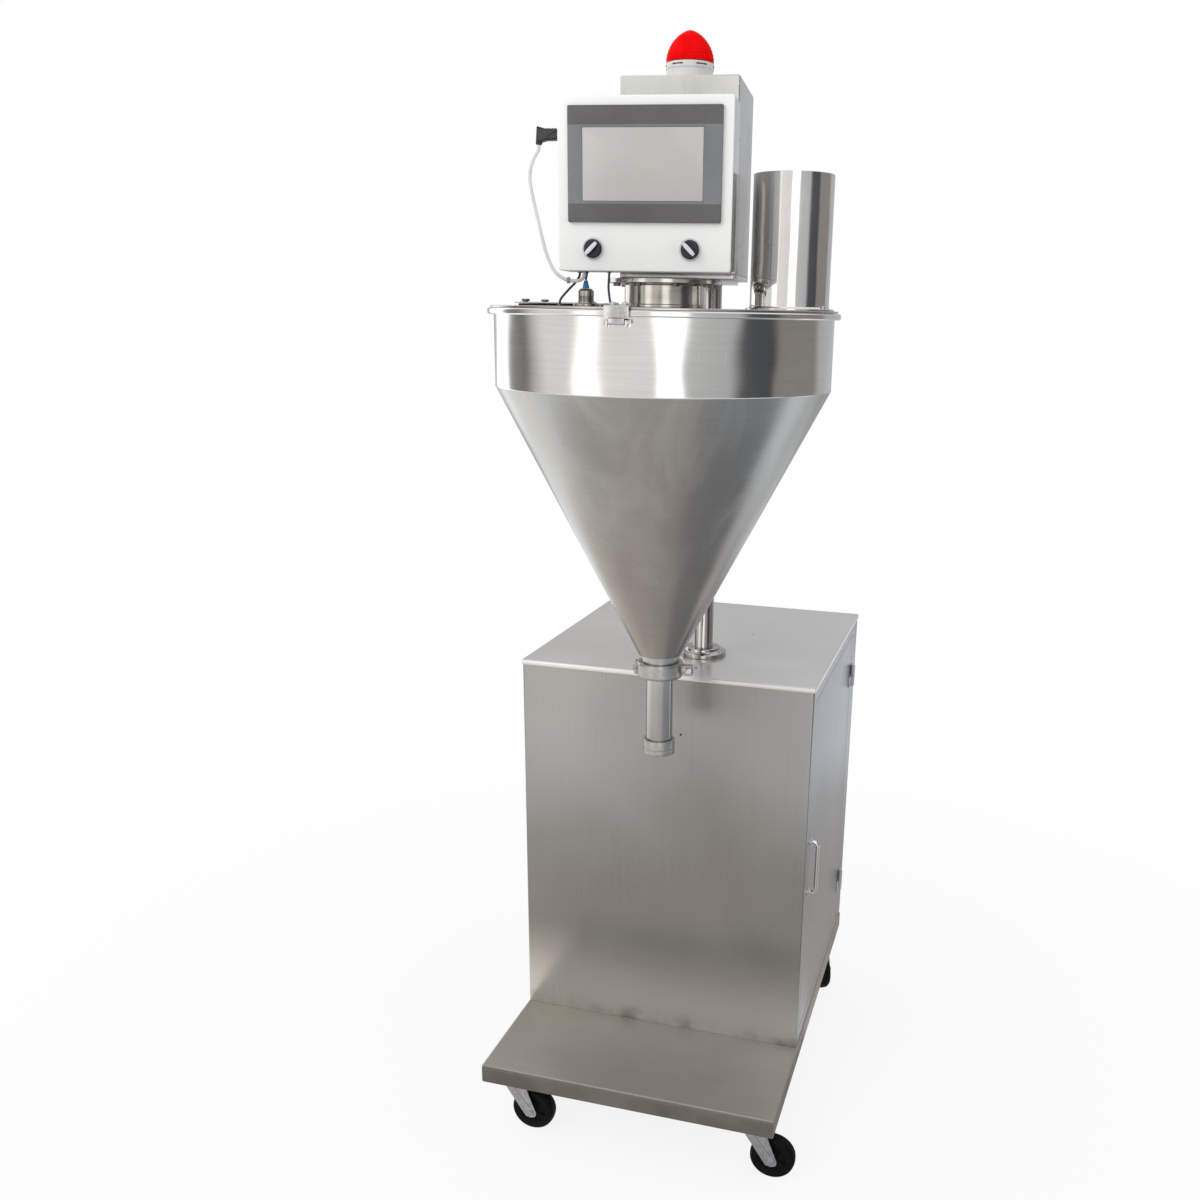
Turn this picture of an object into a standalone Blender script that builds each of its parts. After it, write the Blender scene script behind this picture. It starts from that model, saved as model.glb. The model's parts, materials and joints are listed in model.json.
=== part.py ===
# Semi-automatic auger filler: a wheeled cabinet, a column that carries the drive head,
# and a conical hopper whose screw meters powder down through a clamped tube.
# Metres, +Z up. The machine stands on its castors at z = 0, its front faces -Y.

import math

import bmesh
import bpy

# ---- driving sizes -------------------------------------------------------------------

GAP = 0.0003                    # clearance between neighbouring pieces

CABINET_WIDTH = 0.500
CABINET_DEPTH = 0.511
CABINET_HEIGHT = 0.654          # platform top to cabinet top
CABINET_SHEET = 0.0015
TOP_LIP = 0.008
PLATFORM_DEPTH = 0.202          # how far the platform reaches in front of the cabinet
TRAY_HEIGHT = 0.032
TRAY_SHEET = 0.002
SEAT_STEP = 0.001               # the cabinet stands in a shallow seat behind the platform

CASTER_HEIGHT = 0.105
CASTER_INSET_X = 0.041
CASTER_INSET_Y = 0.047
CASTER_TRAIL = 0.034
CASTER_PLATE = 0.060
CASTER_PLATE_THICKNESS = 0.003
WHEEL_RADIUS = 0.0375
WHEEL_WIDTH = 0.024
AXLE_RADIUS = 0.005

DOOR_FRONT = 0.020              # front edge of the door, behind the cabinet front
DOOR_REAR_STILE = 0.060
DOOR_RAIL = 0.026
DOOR_REVEAL = 0.0015
DOOR_KNUCKLE_RADIUS = 0.004
HANDLE_LENGTH = 0.100
HANDLE_RADIUS = 0.0035
HANDLE_PROUD = 0.0160
HANDLE_FROM_EDGE = 0.020
HANDLE_FROM_FLOOR = 0.414

COLUMN_X = 0.030
COLUMN_Y = 0.136
COLUMN_RADIUS = 0.017
COLUMN_WALL = 0.002
COLUMN_ABOVE_PLATE = 0.045
COLUMN_FOOT_RADIUS = 0.045
COLUMN_FOOT_HEIGHT = 0.010
COLLAR_RADIUS = 0.040
COLLAR_HEIGHT = 0.014

HOPPER_X = 0.0367
COLUMN_CLEARANCE = 0.024        # hopper rim to column
HOPPER_RADIUS = 0.2317
HOPPER_SHEET = 0.002
RIM_WIDTH = 0.0083
RIM_HEIGHT = 0.008
WALL_HEIGHT = 0.102
CONE_HEIGHT = 0.386
CONE_OUTLET_RADIUS = 0.0323
OUTLET_NECK_RADIUS = 0.0275
OUTLET_NECK_LENGTH = 0.023      # clamp joint up to the cone
NOZZLE_CLEARANCE = 0.576        # platform top to nozzle end
AUGER_TUBE_LENGTH = 0.133       # nozzle end up to the clamp joint
AUGER_TUBE_RADIUS = 0.020
AUGER_TUBE_WALL = 0.0015
END_COLLAR_WALL = 0.0038
END_COLLAR_HEIGHT = 0.0225
END_COLLAR_LIP = 0.002
CLAMP_RADIUS = 0.034
CLAMP_HEIGHT = 0.023
CLAMP_LIP_RADIUS = 0.0305
CLAMP_LIP = 0.0036
CLAMP_SPLIT = 0.0012

LID_SHEET = 0.003
LID_INSET = 0.004
NECK_RADIUS = 0.0555
NECK_FLANGE_RADIUS = 0.076
NECK_FLANGE_HEIGHT = 0.006
NECK_HEIGHT = 0.0377            # lid top to flange top
FEED_RADIUS = 0.054
FEED_WALL = 0.0015
FEED_HEIGHT = 0.1725
FEED_FLANGE = 0.006
FEED_EDGE_MARGIN = 0.012
FEED_ANGLE = math.radians(15.3)
HATCH_DEPTH = 0.092             # chord line to the hatch's outer arc
HATCH_EDGE_MARGIN = 0.022
HATCH_FRONT = -0.020
HATCH_SHEET = 0.002
HATCH_GASKET = 0.003
HATCH_SEAT = 0.010
SENSOR_U = -0.0922
SENSOR_V = -0.075
SENSOR_RADIUS = 0.0105
SENSOR_BASE_RADIUS = 0.017

LATCH_ANGLES = {"front": 273.0, "right": 33.0, "left": 153.0}
LATCH_WIDTH = 0.031
LATCH_SHEET = 0.002
LATCH_STANDOFF = 0.004
LATCH_REACH_IN = 0.021
LATCH_DROP = 0.0145             # rim top down to the latch pivot
LATCH_KNUCKLE_RADIUS = 0.003
LATCH_EAR = 0.0035

HEAD_YAW = math.radians(6.35)
HEAD_PLATE_THICKNESS = 0.006
HOUSING_CENTRE = 0.0241
HOUSING_WIDTH = 0.1536
HOUSING_FRONT = -0.0497
HOUSING_BACK = 0.1086
HOUSING_HEIGHT = 0.2377
HOUSING_SHEET = 0.0015
HMI_CENTRE = -0.0095
HMI_WIDTH = 0.223
HMI_HEIGHT = 0.2064
HMI_DEPTH = 0.055
BEZEL_CENTRE = -0.0088
BEZEL_WIDTH = 0.1955
BEZEL_HEIGHT = 0.136
BEZEL_THICKNESS = 0.005
BEZEL_FROM_TOP = 0.0120
SCREEN_WIDTH = 0.1535
SCREEN_HEIGHT = 0.0858
SCREEN_SHIFT = -0.0023
SCREEN_RECESS = 0.0015
KNOB_CENTRE = -0.0126
KNOB_SPACING = 0.1254
KNOB_RADIUS = 0.0114
KNOB_HEIGHT = 0.007
KNOB_FROM_BOTTOM = 0.027
BEACON_RADIUS = 0.0318
BEACON_BASE_HEIGHT = 0.030
BEACON_LENS_HEIGHT = 0.0366
ARM_HALF_WIDTH = 0.038
PASSAGE_RADIUS = 0.014

AUGER_SHAFT_RADIUS = 0.010
AUGER_CLEARANCE = 0.001         # flight to tube
AUGER_PITCH = 0.032
AUGER_FLIGHT = 0.003
SLEEVE_RADIUS = 0.016
SCRAPER_CLEARANCE = 0.014
SCRAPER_WIDTH = 0.010
SCRAPER_THICKNESS = 0.008
SCRAPER_FOOT = 0.061            # cone bottom up to the scraper's foot
GEAR_MODULE = 0.002
WHEEL_TEETH = 44
PINION_TEETH = 21
GEAR_WIDTH = 0.010
MOUNT_HEIGHT = 0.066            # head plate top to the motor plate
MOUNT_PLATE = 0.006
SERVO_SIZE = 0.060
SERVO_LENGTH = 0.113
GEARMOTOR_RADIUS = 0.030
GEARMOTOR_LENGTH = 0.098

GLAND_LENGTH = 0.018
GLAND_RADIUS = 0.010

# ---- sizes that follow -----------------------------------------------------------------

TRAY_TOP = CASTER_HEIGHT + TRAY_HEIGHT
HOPPER_Y = COLUMN_Y - COLUMN_RADIUS - COLUMN_CLEARANCE - HOPPER_RADIUS - RIM_WIDTH
AUGER_TUBE_BORE = AUGER_TUBE_RADIUS - AUGER_TUBE_WALL
END_COLLAR_RADIUS = AUGER_TUBE_RADIUS + END_COLLAR_WALL
AUGER_RADIUS = AUGER_TUBE_BORE - AUGER_CLEARANCE
CABINET_TOP = TRAY_TOP + CABINET_HEIGHT
NOZZLE_Z = TRAY_TOP + NOZZLE_CLEARANCE
JOINT_Z = NOZZLE_Z + AUGER_TUBE_LENGTH
CONE_BOTTOM = JOINT_Z + OUTLET_NECK_LENGTH
BEND_Z = CONE_BOTTOM + CONE_HEIGHT
RIM_TOP = BEND_Z + WALL_HEIGHT
RIM_RADIUS = HOPPER_RADIUS + RIM_WIDTH
LID_RADIUS = RIM_RADIUS - LID_INSET
LID_BOTTOM = RIM_TOP + GAP
LID_TOP = LID_BOTTOM + LID_SHEET
FLANGE_TOP = LID_TOP + NECK_HEIGHT
PLATE_BOTTOM = FLANGE_TOP + GAP
PLATE_TOP = PLATE_BOTTOM + HEAD_PLATE_THICKNESS
HOUSING_BOTTOM = PLATE_TOP + GAP
HOUSING_TOP = HOUSING_BOTTOM + HOUSING_HEIGHT
HMI_BOTTOM = PLATE_TOP
HMI_TOP = HMI_BOTTOM + HMI_HEIGHT
HMI_BACK = HOUSING_FRONT - GAP
HMI_FRONT = HMI_BACK - HMI_DEPTH
GEAR_BOTTOM = PLATE_TOP + 0.006
GEAR_TOP = GEAR_BOTTOM + GEAR_WIDTH
COUPLING_BOTTOM = GEAR_TOP + 0.010
COUPLING_TOP = COUPLING_BOTTOM + 0.030
MOUNT_BOTTOM = PLATE_TOP + MOUNT_HEIGHT
MOUNT_TOP = MOUNT_BOTTOM + MOUNT_PLATE
BEACON_JOINT = HOUSING_TOP + GAP + BEACON_BASE_HEIGHT

SHELL_HALF = CABINET_WIDTH / 2 - CABINET_SHEET - GAP
SHELL_FRONT = CABINET_SHEET + GAP
SHELL_BACK = CABINET_DEPTH - CABINET_SHEET - GAP
SEAT_TOP = TRAY_TOP - SEAT_STEP
SHELL_BOTTOM = SEAT_TOP + GAP
SHELL_TOP = CABINET_TOP - CABINET_SHEET - GAP
DOOR_BACK = CABINET_DEPTH - DOOR_REAR_STILE

# ---- the frame's origin: centre of the overall box, on the floor ------------------------

CASTER_X = CABINET_WIDTH / 2 - CASTER_INSET_X
LATCH_REACH = RIM_RADIUS + LATCH_STANDOFF + LATCH_SHEET
LATCH_LEAN = math.radians(LATCH_ANGLES["front"] - 270)
LEFT_REACH = -CABINET_WIDTH / 2
RIGHT_REACH = CASTER_X + CASTER_TRAIL + WHEEL_RADIUS
FRONT_REACH = HOPPER_Y - LATCH_REACH * math.cos(LATCH_LEAN) - LATCH_WIDTH / 2 * math.sin(LATCH_LEAN)
BACK_REACH = CABINET_DEPTH + GLAND_LENGTH
ORIGIN_X = (LEFT_REACH + RIGHT_REACH) / 2
ORIGIN_Y = (FRONT_REACH + BACK_REACH) / 2

# ---- scene and materials ---------------------------------------------------------------

for old in list(bpy.data.objects):
    bpy.data.objects.remove(old, do_unlink=True)

parts = bpy.data.collections.new("auger_filler")
helpers = bpy.data.collections.new("cutters")
helpers.hide_render = True
bpy.context.scene.collection.children.link(parts)
bpy.context.scene.collection.children.link(helpers)


def finish(name, colour, roughness, metallic, alpha=1.0):
    material = bpy.data.materials.new(name)
    material.use_nodes = True
    shader = material.node_tree.nodes["Principled BSDF"]
    shader.inputs["Base Color"].default_value = (*colour, 1.0)
    shader.inputs["Roughness"].default_value = roughness
    shader.inputs["Metallic"].default_value = metallic
    shader.inputs["Alpha"].default_value = alpha
    return material


BRUSHED = finish("brushed_stainless", (0.56, 0.55, 0.53), 0.34, 1.0)
POLISHED = finish("polished_stainless", (0.72, 0.71, 0.70), 0.12, 1.0)
SATIN = finish("satin_stainless", (0.60, 0.59, 0.57), 0.28, 1.0)
ZINC = finish("zinc_plated_steel", (0.60, 0.61, 0.63), 0.38, 1.0)
ALUMINIUM = finish("aluminium", (0.70, 0.70, 0.70), 0.40, 1.0)
STEEL = finish("machined_steel", (0.48, 0.48, 0.50), 0.30, 1.0)
WHITE_PAINT = finish("pale_panel", (0.86, 0.86, 0.84), 0.35, 0.2)
GREY_PLASTIC = finish("bezel_grey", (0.11, 0.115, 0.12), 0.35, 0.0)
SCREEN_GREY = finish("screen_grey", (0.50, 0.48, 0.46), 0.20, 0.0)
BLACK_PLASTIC = finish("black_plastic", (0.02, 0.02, 0.025), 0.40, 0.0)
BLACK_RUBBER = finish("black_rubber", (0.02, 0.02, 0.02), 0.75, 0.0)
NAVY_PLASTIC = finish("knob_plastic", (0.03, 0.035, 0.05), 0.35, 0.0)
BLUE_PLASTIC = finish("blue_plastic", (0.05, 0.22, 0.52), 0.40, 0.0)
RED_LENS = finish("red_lens", (0.80, 0.02, 0.02), 0.15, 0.0, 0.85)
PALE_PLASTIC = finish("pale_plastic", (0.85, 0.84, 0.82), 0.40, 0.0)
WHITE_CABLE = finish("white_cable", (0.80, 0.80, 0.78), 0.50, 0.0)
DARK_CABLE = finish("dark_cable", (0.03, 0.05, 0.10), 0.45, 0.0)

# ---- building blocks -------------------------------------------------------------------


def pivot(name, parent=None, location=(0, 0, 0), turn=0.0):
    empty = bpy.data.objects.new(name, None)
    empty.empty_display_size = 0.03
    empty.location = location
    empty.rotation_euler[2] = turn
    empty.parent = parent
    helpers.objects.link(empty)
    return empty


def add(name, mesh, parent, material=None, location=(0, 0, 0), rotation=(0, 0, 0)):
    # A piece without a material is a cutter or a piece to be fused: it isn't a node.
    item = bpy.data.objects.new(name, mesh)
    item.parent = parent
    item.location = location
    item.rotation_euler = rotation
    if material is None:
        item.hide_render = True
        item.display_type = "WIRE"
        helpers.objects.link(item)
    else:
        mesh.materials.append(material)
        parts.objects.link(item)
    return item


def block(name, low, high, parent, material=None):
    size = [b - a for a, b in zip(low, high)]
    centre = [(a + b) / 2 for a, b in zip(low, high)]
    mesh = bpy.data.meshes.new(name)
    form = bmesh.new()
    bmesh.ops.create_cube(form, size=1.0)
    bmesh.ops.scale(form, vec=size, verts=form.verts)
    form.to_mesh(mesh)
    form.free()
    return add(name, mesh, parent, material, centre)


AXIS_TURN = {"Z": (0, 0, 0), "X": (0, math.pi / 2, 0), "Y": (-math.pi / 2, 0, 0)}


def rod(name, radius, start, length, parent, material=None, axis="Z", sides=24, top=None):
    # A cylinder, or a cone when top is given, that runs from start along +axis.
    mesh = bpy.data.meshes.new(name)
    form = bmesh.new()
    bmesh.ops.create_cone(form, cap_ends=True, segments=sides, depth=length,
                          radius1=radius, radius2=radius if top is None else top)
    bmesh.ops.translate(form, vec=(0, 0, length / 2), verts=form.verts)
    form.to_mesh(mesh)
    form.free()
    mesh.shade_smooth()
    mesh.set_sharp_from_angle(angle=math.radians(40))
    return add(name, mesh, parent, material, start, AXIS_TURN[axis])


def turned(name, profile, parent, material=None, location=(0, 0, 0), sides=32, axis="Z"):
    # The profile is (radius, height) points, outer side first and downwards.
    # It closes on itself unless both of its ends lie on the axis.
    mesh = bpy.data.meshes.new(name)
    links = [(i, i + 1) for i in range(len(profile) - 1)]
    if profile[0][0] > 0:
        links.append((len(profile) - 1, 0))
    mesh.from_pydata([(r, 0, z) for r, z in profile], links, [])
    item = add(name, mesh, parent, material, location, AXIS_TURN[axis])
    screw = item.modifiers.new("turn", "SCREW")
    screw.steps = sides
    screw.render_steps = sides
    screw.use_merge_vertices = True
    screw.merge_threshold = 0.00001
    screw.use_smooth_shade = True
    return item


def outline(name, points, thickness, parent, material=None, location=(0, 0, 0), rotation=(0, 0, 0)):
    # A flat plate with the given outline in its own XY plane, centred on its thickness.
    curve = bpy.data.curves.new(name, "CURVE")
    curve.dimensions = "2D"
    curve.fill_mode = "BOTH"
    curve.extrude = thickness / 2
    spline = curve.splines.new("POLY")
    spline.points.add(len(points) - 1)
    spline.use_cyclic_u = True
    for point, (x, y) in zip(spline.points, points):
        point.co = (x, y, 0, 1)
    guide = bpy.data.objects.new(name + "_outline", curve)
    bpy.context.scene.collection.objects.link(guide)
    graph = bpy.context.evaluated_depsgraph_get()
    mesh = bpy.data.meshes.new_from_object(guide.evaluated_get(graph))
    bpy.data.objects.remove(guide, do_unlink=True)
    form = bmesh.new()
    form.from_mesh(mesh)
    bmesh.ops.remove_doubles(form, verts=form.verts, dist=0.00001)
    bmesh.ops.recalc_face_normals(form, faces=form.faces)
    form.to_mesh(mesh)
    form.free()
    return add(name, mesh, parent, material, location, rotation)


def smooth_route(points, spacing):
    # Catmull-Rom curve through the chosen points, read off at an even spacing.
    ends = [points[0]] + list(points) + [points[-1]]
    dense = []
    for a, b, c, d in zip(ends, ends[1:], ends[2:], ends[3:]):
        for step in range(24):
            t = step / 24
            dense.append([0.5 * (2 * q + (r - p) * t + (2 * p - 5 * q + 4 * r - s) * t * t
                                 + (3 * q - p - 3 * r + s) * t ** 3)
                          for p, q, r, s in zip(a, b, c, d)])
    dense.append(list(points[-1]))
    lengths = [0.0]
    for before, after in zip(dense, dense[1:]):
        lengths.append(lengths[-1] + math.dist(before, after))
    count = max(3, round(lengths[-1] / spacing))
    even = []
    for i in range(count + 1):
        wanted = lengths[-1] * i / count
        k = max(j for j in range(len(dense)) if lengths[j] <= wanted + 1e-12)
        k = min(k, len(dense) - 2)
        share = (wanted - lengths[k]) / (lengths[k + 1] - lengths[k])
        even.append([a + (b - a) * share for a, b in zip(dense[k], dense[k + 1])])
    return even


def cable(name, points, diameter, parent, material):
    route = smooth_route(points, 2 * diameter)
    curve = bpy.data.curves.new(name, "CURVE")
    curve.dimensions = "3D"
    curve.bevel_depth = diameter / 2
    curve.bevel_resolution = 2
    curve.use_fill_caps = True
    curve.materials.append(material)
    spline = curve.splines.new("POLY")
    spline.points.add(len(route) - 1)
    for point, place in zip(spline.points, route):
        point.co = (*place, 1)
    item = bpy.data.objects.new(name, curve)
    item.parent = parent
    parts.objects.link(item)
    return item


def combine(item, others, operation):
    for other in others:
        step = item.modifiers.new(other.name, "BOOLEAN")
        step.operation = operation
        step.solver = "EXACT"
        step.object = other
    return item


def cut(item, *others):
    return combine(item, others, "DIFFERENCE")


def fuse(item, *others):
    return combine(item, others, "UNION")


def keep(item, *others):
    return combine(item, others, "INTERSECT")


machine = pivot("machine", location=(-ORIGIN_X, -ORIGIN_Y, 0))
hopper_axis = pivot("hopper_axis", machine, (HOPPER_X, HOPPER_Y, 0))
head_axis = pivot("head_axis", machine, (HOPPER_X, HOPPER_Y, 0), HEAD_YAW)


# ---- base tray and castors --------------------------------------------------------------

CASTER_PLACES = {
    "front_left": (-CASTER_X, CASTER_INSET_Y - PLATFORM_DEPTH),
    "front_right": (CASTER_X, CASTER_INSET_Y - PLATFORM_DEPTH),
    "rear_left": (-CASTER_X, CABINET_DEPTH - CASTER_INSET_Y),
    "rear_right": (CASTER_X, CABINET_DEPTH - CASTER_INSET_Y),
}
PAD = CASTER_PLATE / 2 + 0.003
CASTER_HEADINGS = {"front_left": 0, "front_right": 0, "rear_left": 0, "rear_right": -62}


def base_tray():
    half = CABINET_WIDTH / 2
    tray = block("base_tray", (-half, -PLATFORM_DEPTH, CASTER_HEIGHT), (half, CABINET_DEPTH, TRAY_TOP),
                 machine, BRUSHED)
    hollow = block("tray_hollow", (TRAY_SHEET - half, TRAY_SHEET - PLATFORM_DEPTH, CASTER_HEIGHT - 0.01),
                   (half - TRAY_SHEET, CABINET_DEPTH - TRAY_SHEET, TRAY_TOP - TRAY_SHEET), machine)
    seat = block("cabinet_seat", (-half - 0.01, SHELL_FRONT - GAP, SEAT_TOP),
                 (half + 0.01, CABINET_DEPTH + 0.01, TRAY_TOP + 0.01), machine)
    cut(tray, hollow, seat)
    for place, (x, y) in CASTER_PLACES.items():
        fuse(tray, block("tray_pad_" + place, (x - PAD, y - PAD, CASTER_HEIGHT),
                         (x + PAD, y + PAD, TRAY_TOP - (TRAY_SHEET + SEAT_STEP) / 2), machine))


def caster(place, x, y):
    top = CASTER_HEIGHT - GAP
    race = top - CASTER_PLATE_THICKNESS - 0.007
    swivel = pivot("swivel_" + place, machine, (x, y, 0), math.radians(CASTER_HEADINGS[place]))
    axle_line = pivot("axle_line_" + place, swivel, (CASTER_TRAIL, 0, WHEEL_RADIUS))

    half = CASTER_PLATE / 2
    plate = block("caster_plate_" + place, (-half, -half, top - CASTER_PLATE_THICKNESS), (half, half, top),
                  swivel, ZINC)
    fuse(plate, rod("caster_race_" + place, 0.020, (0, 0, race), top - race - 0.001, swivel))

    leg_inside = WHEEL_WIDTH / 2 + 0.002
    leg = 0.0025
    crown = race - GAP
    fork = rod("caster_fork_" + place, 0.022, (0, 0, crown - 0.005), 0.005, swivel, ZINC)
    side = [(-0.017, crown - 0.001), (0.022, crown - 0.001), (CASTER_TRAIL + 0.011, WHEEL_RADIUS),
            (CASTER_TRAIL + 0.006, WHEEL_RADIUS - 0.009), (CASTER_TRAIL - 0.008, WHEEL_RADIUS - 0.008)]
    for sign in (-1, 1):
        fuse(fork, outline(f"caster_leg_{place}_{sign}", side, leg, swivel,
                           location=(0, sign * (leg_inside + leg / 2), 0), rotation=(math.pi / 2, 0, 0)))
    reach = leg_inside + leg
    fuse(fork,
         block("caster_crown_" + place, (-0.017, -reach, crown - 0.005), (0.022, reach, crown - 0.001), swivel),
         rod("caster_axle_" + place, AXLE_RADIUS, (0, -reach - 0.003, 0), 2 * reach + 0.006, axle_line,
             axis="Y", sides=16))

    bore = AXLE_RADIUS + GAP
    wide = WHEEL_WIDTH / 2
    tyre = [(WHEEL_RADIUS - 0.004, wide), (WHEEL_RADIUS, wide - 0.005), (WHEEL_RADIUS, 0.005 - wide),
            (WHEEL_RADIUS - 0.004, -wide), (bore, -wide), (bore, wide)]
    turned("caster_wheel_" + place, tyre, axle_line, BLACK_RUBBER, axis="Y", sides=24)


# ---- cabinet ----------------------------------------------------------------------------


def cabinet():
    shell = block("cabinet_shell", (-SHELL_HALF, SHELL_FRONT, SHELL_BOTTOM), (SHELL_HALF, SHELL_BACK, SHELL_TOP),
                  machine, BRUSHED)
    inside = SHELL_HALF - CABINET_SHEET
    back_edge = SHELL_HALF - 0.022
    door_low = SHELL_BOTTOM + DOOR_RAIL - DOOR_REVEAL
    door_high = SHELL_TOP - DOOR_RAIL + DOOR_REVEAL
    cut(shell,
        block("shell_hollow", (-inside, SHELL_FRONT + CABINET_SHEET, SHELL_BOTTOM - 0.01),
              (inside, SHELL_BACK - CABINET_SHEET, SHELL_TOP + 0.01), machine),
        block("shell_door_opening", (inside - 0.01, DOOR_FRONT - DOOR_REVEAL, door_low),
              (SHELL_HALF + 0.01, DOOR_BACK + DOOR_REVEAL, door_high), machine),
        block("shell_back_opening", (-back_edge, SHELL_BACK - 0.01, SHELL_BOTTOM + DOOR_RAIL),
              (back_edge, SHELL_BACK + 0.01, SHELL_TOP - DOOR_RAIL), machine))

    hinge_x = SHELL_HALF + DOOR_KNUCKLE_RADIUS + 0.0004
    hinge_y = DOOR_BACK + DOOR_REVEAL / 2
    hinge = pivot("door_hinge", machine, (hinge_x, hinge_y, 0))
    door = block("cabinet_door", (SHELL_HALF - CABINET_SHEET - hinge_x, DOOR_FRONT - hinge_y, door_low + DOOR_REVEAL),
                 (SHELL_HALF - hinge_x, DOOR_BACK - hinge_y, door_high - DOOR_REVEAL), hinge, BRUSHED)
    for index, middle in enumerate((door_low + 0.080, door_high - 0.080)):
        fuse(door, rod(f"door_knuckle_{index}", DOOR_KNUCKLE_RADIUS, (0, 0, middle - 0.020), 0.020, hinge, sides=12),
             block(f"door_leaf_{index}", (-0.0052, -0.014, middle - 0.020), (-0.0020, -0.0012, middle), hinge))
        fuse(shell, rod(f"shell_knuckle_{index}", DOOR_KNUCKLE_RADIUS, (0, 0, middle + GAP), 0.020, hinge, sides=12),
             block(f"shell_leaf_{index}", (-0.0052, 0.0012, middle + GAP), (-0.0020, 0.014, middle + 0.020), hinge))

    grip_y = DOOR_FRONT + HANDLE_FROM_EDGE - hinge_y
    face = SHELL_HALF + GAP - hinge_x
    handle = rod("door_handle", HANDLE_RADIUS, (face + HANDLE_PROUD - HANDLE_RADIUS, grip_y, HANDLE_FROM_FLOOR),
                 HANDLE_LENGTH, hinge, POLISHED, sides=16)
    for index, height in enumerate((HANDLE_FROM_FLOOR + 0.008, HANDLE_FROM_FLOOR + HANDLE_LENGTH - 0.008)):
        fuse(handle, rod(f"handle_post_{index}", HANDLE_RADIUS, (face, grip_y, height),
                         HANDLE_PROUD - HANDLE_RADIUS, hinge, axis="X", sides=16))

    half = CABINET_WIDTH / 2
    top = block("cabinet_top", (-half, 0, CABINET_TOP - TOP_LIP), (half, CABINET_DEPTH, CABINET_TOP),
                machine, BRUSHED)
    cut(top,
        block("top_hollow", (CABINET_SHEET - half, CABINET_SHEET, CABINET_TOP - TOP_LIP - 0.01),
              (half - CABINET_SHEET, CABINET_DEPTH - CABINET_SHEET, CABINET_TOP - CABINET_SHEET), machine),
        rod("top_column_hole", COLUMN_RADIUS + 0.001, (COLUMN_X, COLUMN_Y, CABINET_TOP - 0.02), 0.04, machine))

    # The back panel lies on the shell's outside, below the lip of the top.
    panel = block("back_panel", (-SHELL_HALF, SHELL_BACK + GAP, SHELL_BOTTOM),
                  (SHELL_HALF, CABINET_DEPTH, CABINET_TOP - TOP_LIP - GAP), machine, BRUSHED)
    fuse(panel, rod("mains_gland", GLAND_RADIUS, (-0.150, CABINET_DEPTH - 0.001, TRAY_TOP + 0.070),
                    GLAND_LENGTH + 0.001, machine, axis="Y", sides=16))
    cut(panel, rod("mains_gland_bore", 0.005, (-0.150, SHELL_BACK - 0.01, TRAY_TOP + 0.070), 0.05, machine,
                   axis="Y", sides=16))

    wall = -inside
    plate_face = wall + 0.020
    plate = block("mounting_plate", (plate_face - 0.002, 0.190, TRAY_TOP + 0.110),
                  (plate_face, 0.460, CABINET_TOP - 0.110), machine, ZINC)
    for index, (y, z) in enumerate(((0.200, TRAY_TOP + 0.120), (0.450, TRAY_TOP + 0.120),
                                    (0.200, CABINET_TOP - 0.120), (0.450, CABINET_TOP - 0.120))):
        fuse(plate, rod(f"plate_standoff_{index}", 0.005, (wall + GAP, y, z), 0.0190, machine, axis="X", sides=12))
    drive_x = plate_face + GAP
    block("servo_drive", (drive_x, 0.215, TRAY_TOP + 0.330), (drive_x + 0.130, 0.275, TRAY_TOP + 0.500),
          machine, BLACK_PLASTIC)


# ---- column -----------------------------------------------------------------------------


def column():
    foot = SEAT_TOP + GAP
    crown = PLATE_TOP + COLUMN_ABOVE_PLATE
    inner = COLUMN_RADIUS - COLUMN_WALL
    turned("column", [(0, crown), (COLUMN_RADIUS, crown), (COLUMN_RADIUS, foot + COLUMN_FOOT_HEIGHT),
                      (COLUMN_FOOT_RADIUS, foot + COLUMN_FOOT_HEIGHT), (COLUMN_FOOT_RADIUS, foot),
                      (inner, foot), (inner, crown - 0.004), (0, crown - 0.004)],
           machine, POLISHED, (COLUMN_X, COLUMN_Y, 0), sides=24)
    low = CABINET_TOP + GAP
    high = low + COLLAR_HEIGHT
    bore = COLUMN_RADIUS + GAP
    turned("column_collar", [(bore + 0.002, high), (0.030, high), (0.036, high - 0.002), (COLLAR_RADIUS, high - 0.006),
                             (COLLAR_RADIUS, low), (bore, low), (bore, high - 0.002)],
           machine, POLISHED, (COLUMN_X, COLUMN_Y, 0), sides=28)

    # The clamp rests on the head plate: a split ring with two bolted ears.
    low = PLATE_TOP + GAP
    high = low + 0.030
    clamp = turned("column_clamp", [(0.032, high), (0.032, low), (bore, low), (bore, high)],
                   machine, ALUMINIUM, (COLUMN_X, COLUMN_Y, 0))
    fuse(clamp, block("clamp_ears", (COLUMN_X - 0.010, COLUMN_Y + 0.026, low + 0.002),
                      (COLUMN_X + 0.010, COLUMN_Y + 0.046, high - 0.002), machine))
    cut(clamp, block("clamp_slit", (COLUMN_X - 0.001, COLUMN_Y, low - 0.01), (COLUMN_X + 0.001, COLUMN_Y + 0.06, high + 0.01),
                     machine))
    fuse(clamp, rod("clamp_bolt", 0.004, (COLUMN_X - 0.016, COLUMN_Y + 0.038, (low + high) / 2), 0.032, machine,
                    axis="X", sides=12))


# ---- hopper, lid and what stands on it -----------------------------------------------------


def cone_radius(z):
    share = (z - CONE_BOTTOM) / CONE_HEIGHT
    return CONE_OUTLET_RADIUS + share * (HOPPER_RADIUS - CONE_OUTLET_RADIUS)


PIVOT_Z = RIM_TOP - LATCH_DROP
PIVOT_REACH = LATCH_REACH - LATCH_KNUCKLE_RADIUS


def latch_turn(name):
    return math.radians(LATCH_ANGLES[name] + 90)


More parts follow.
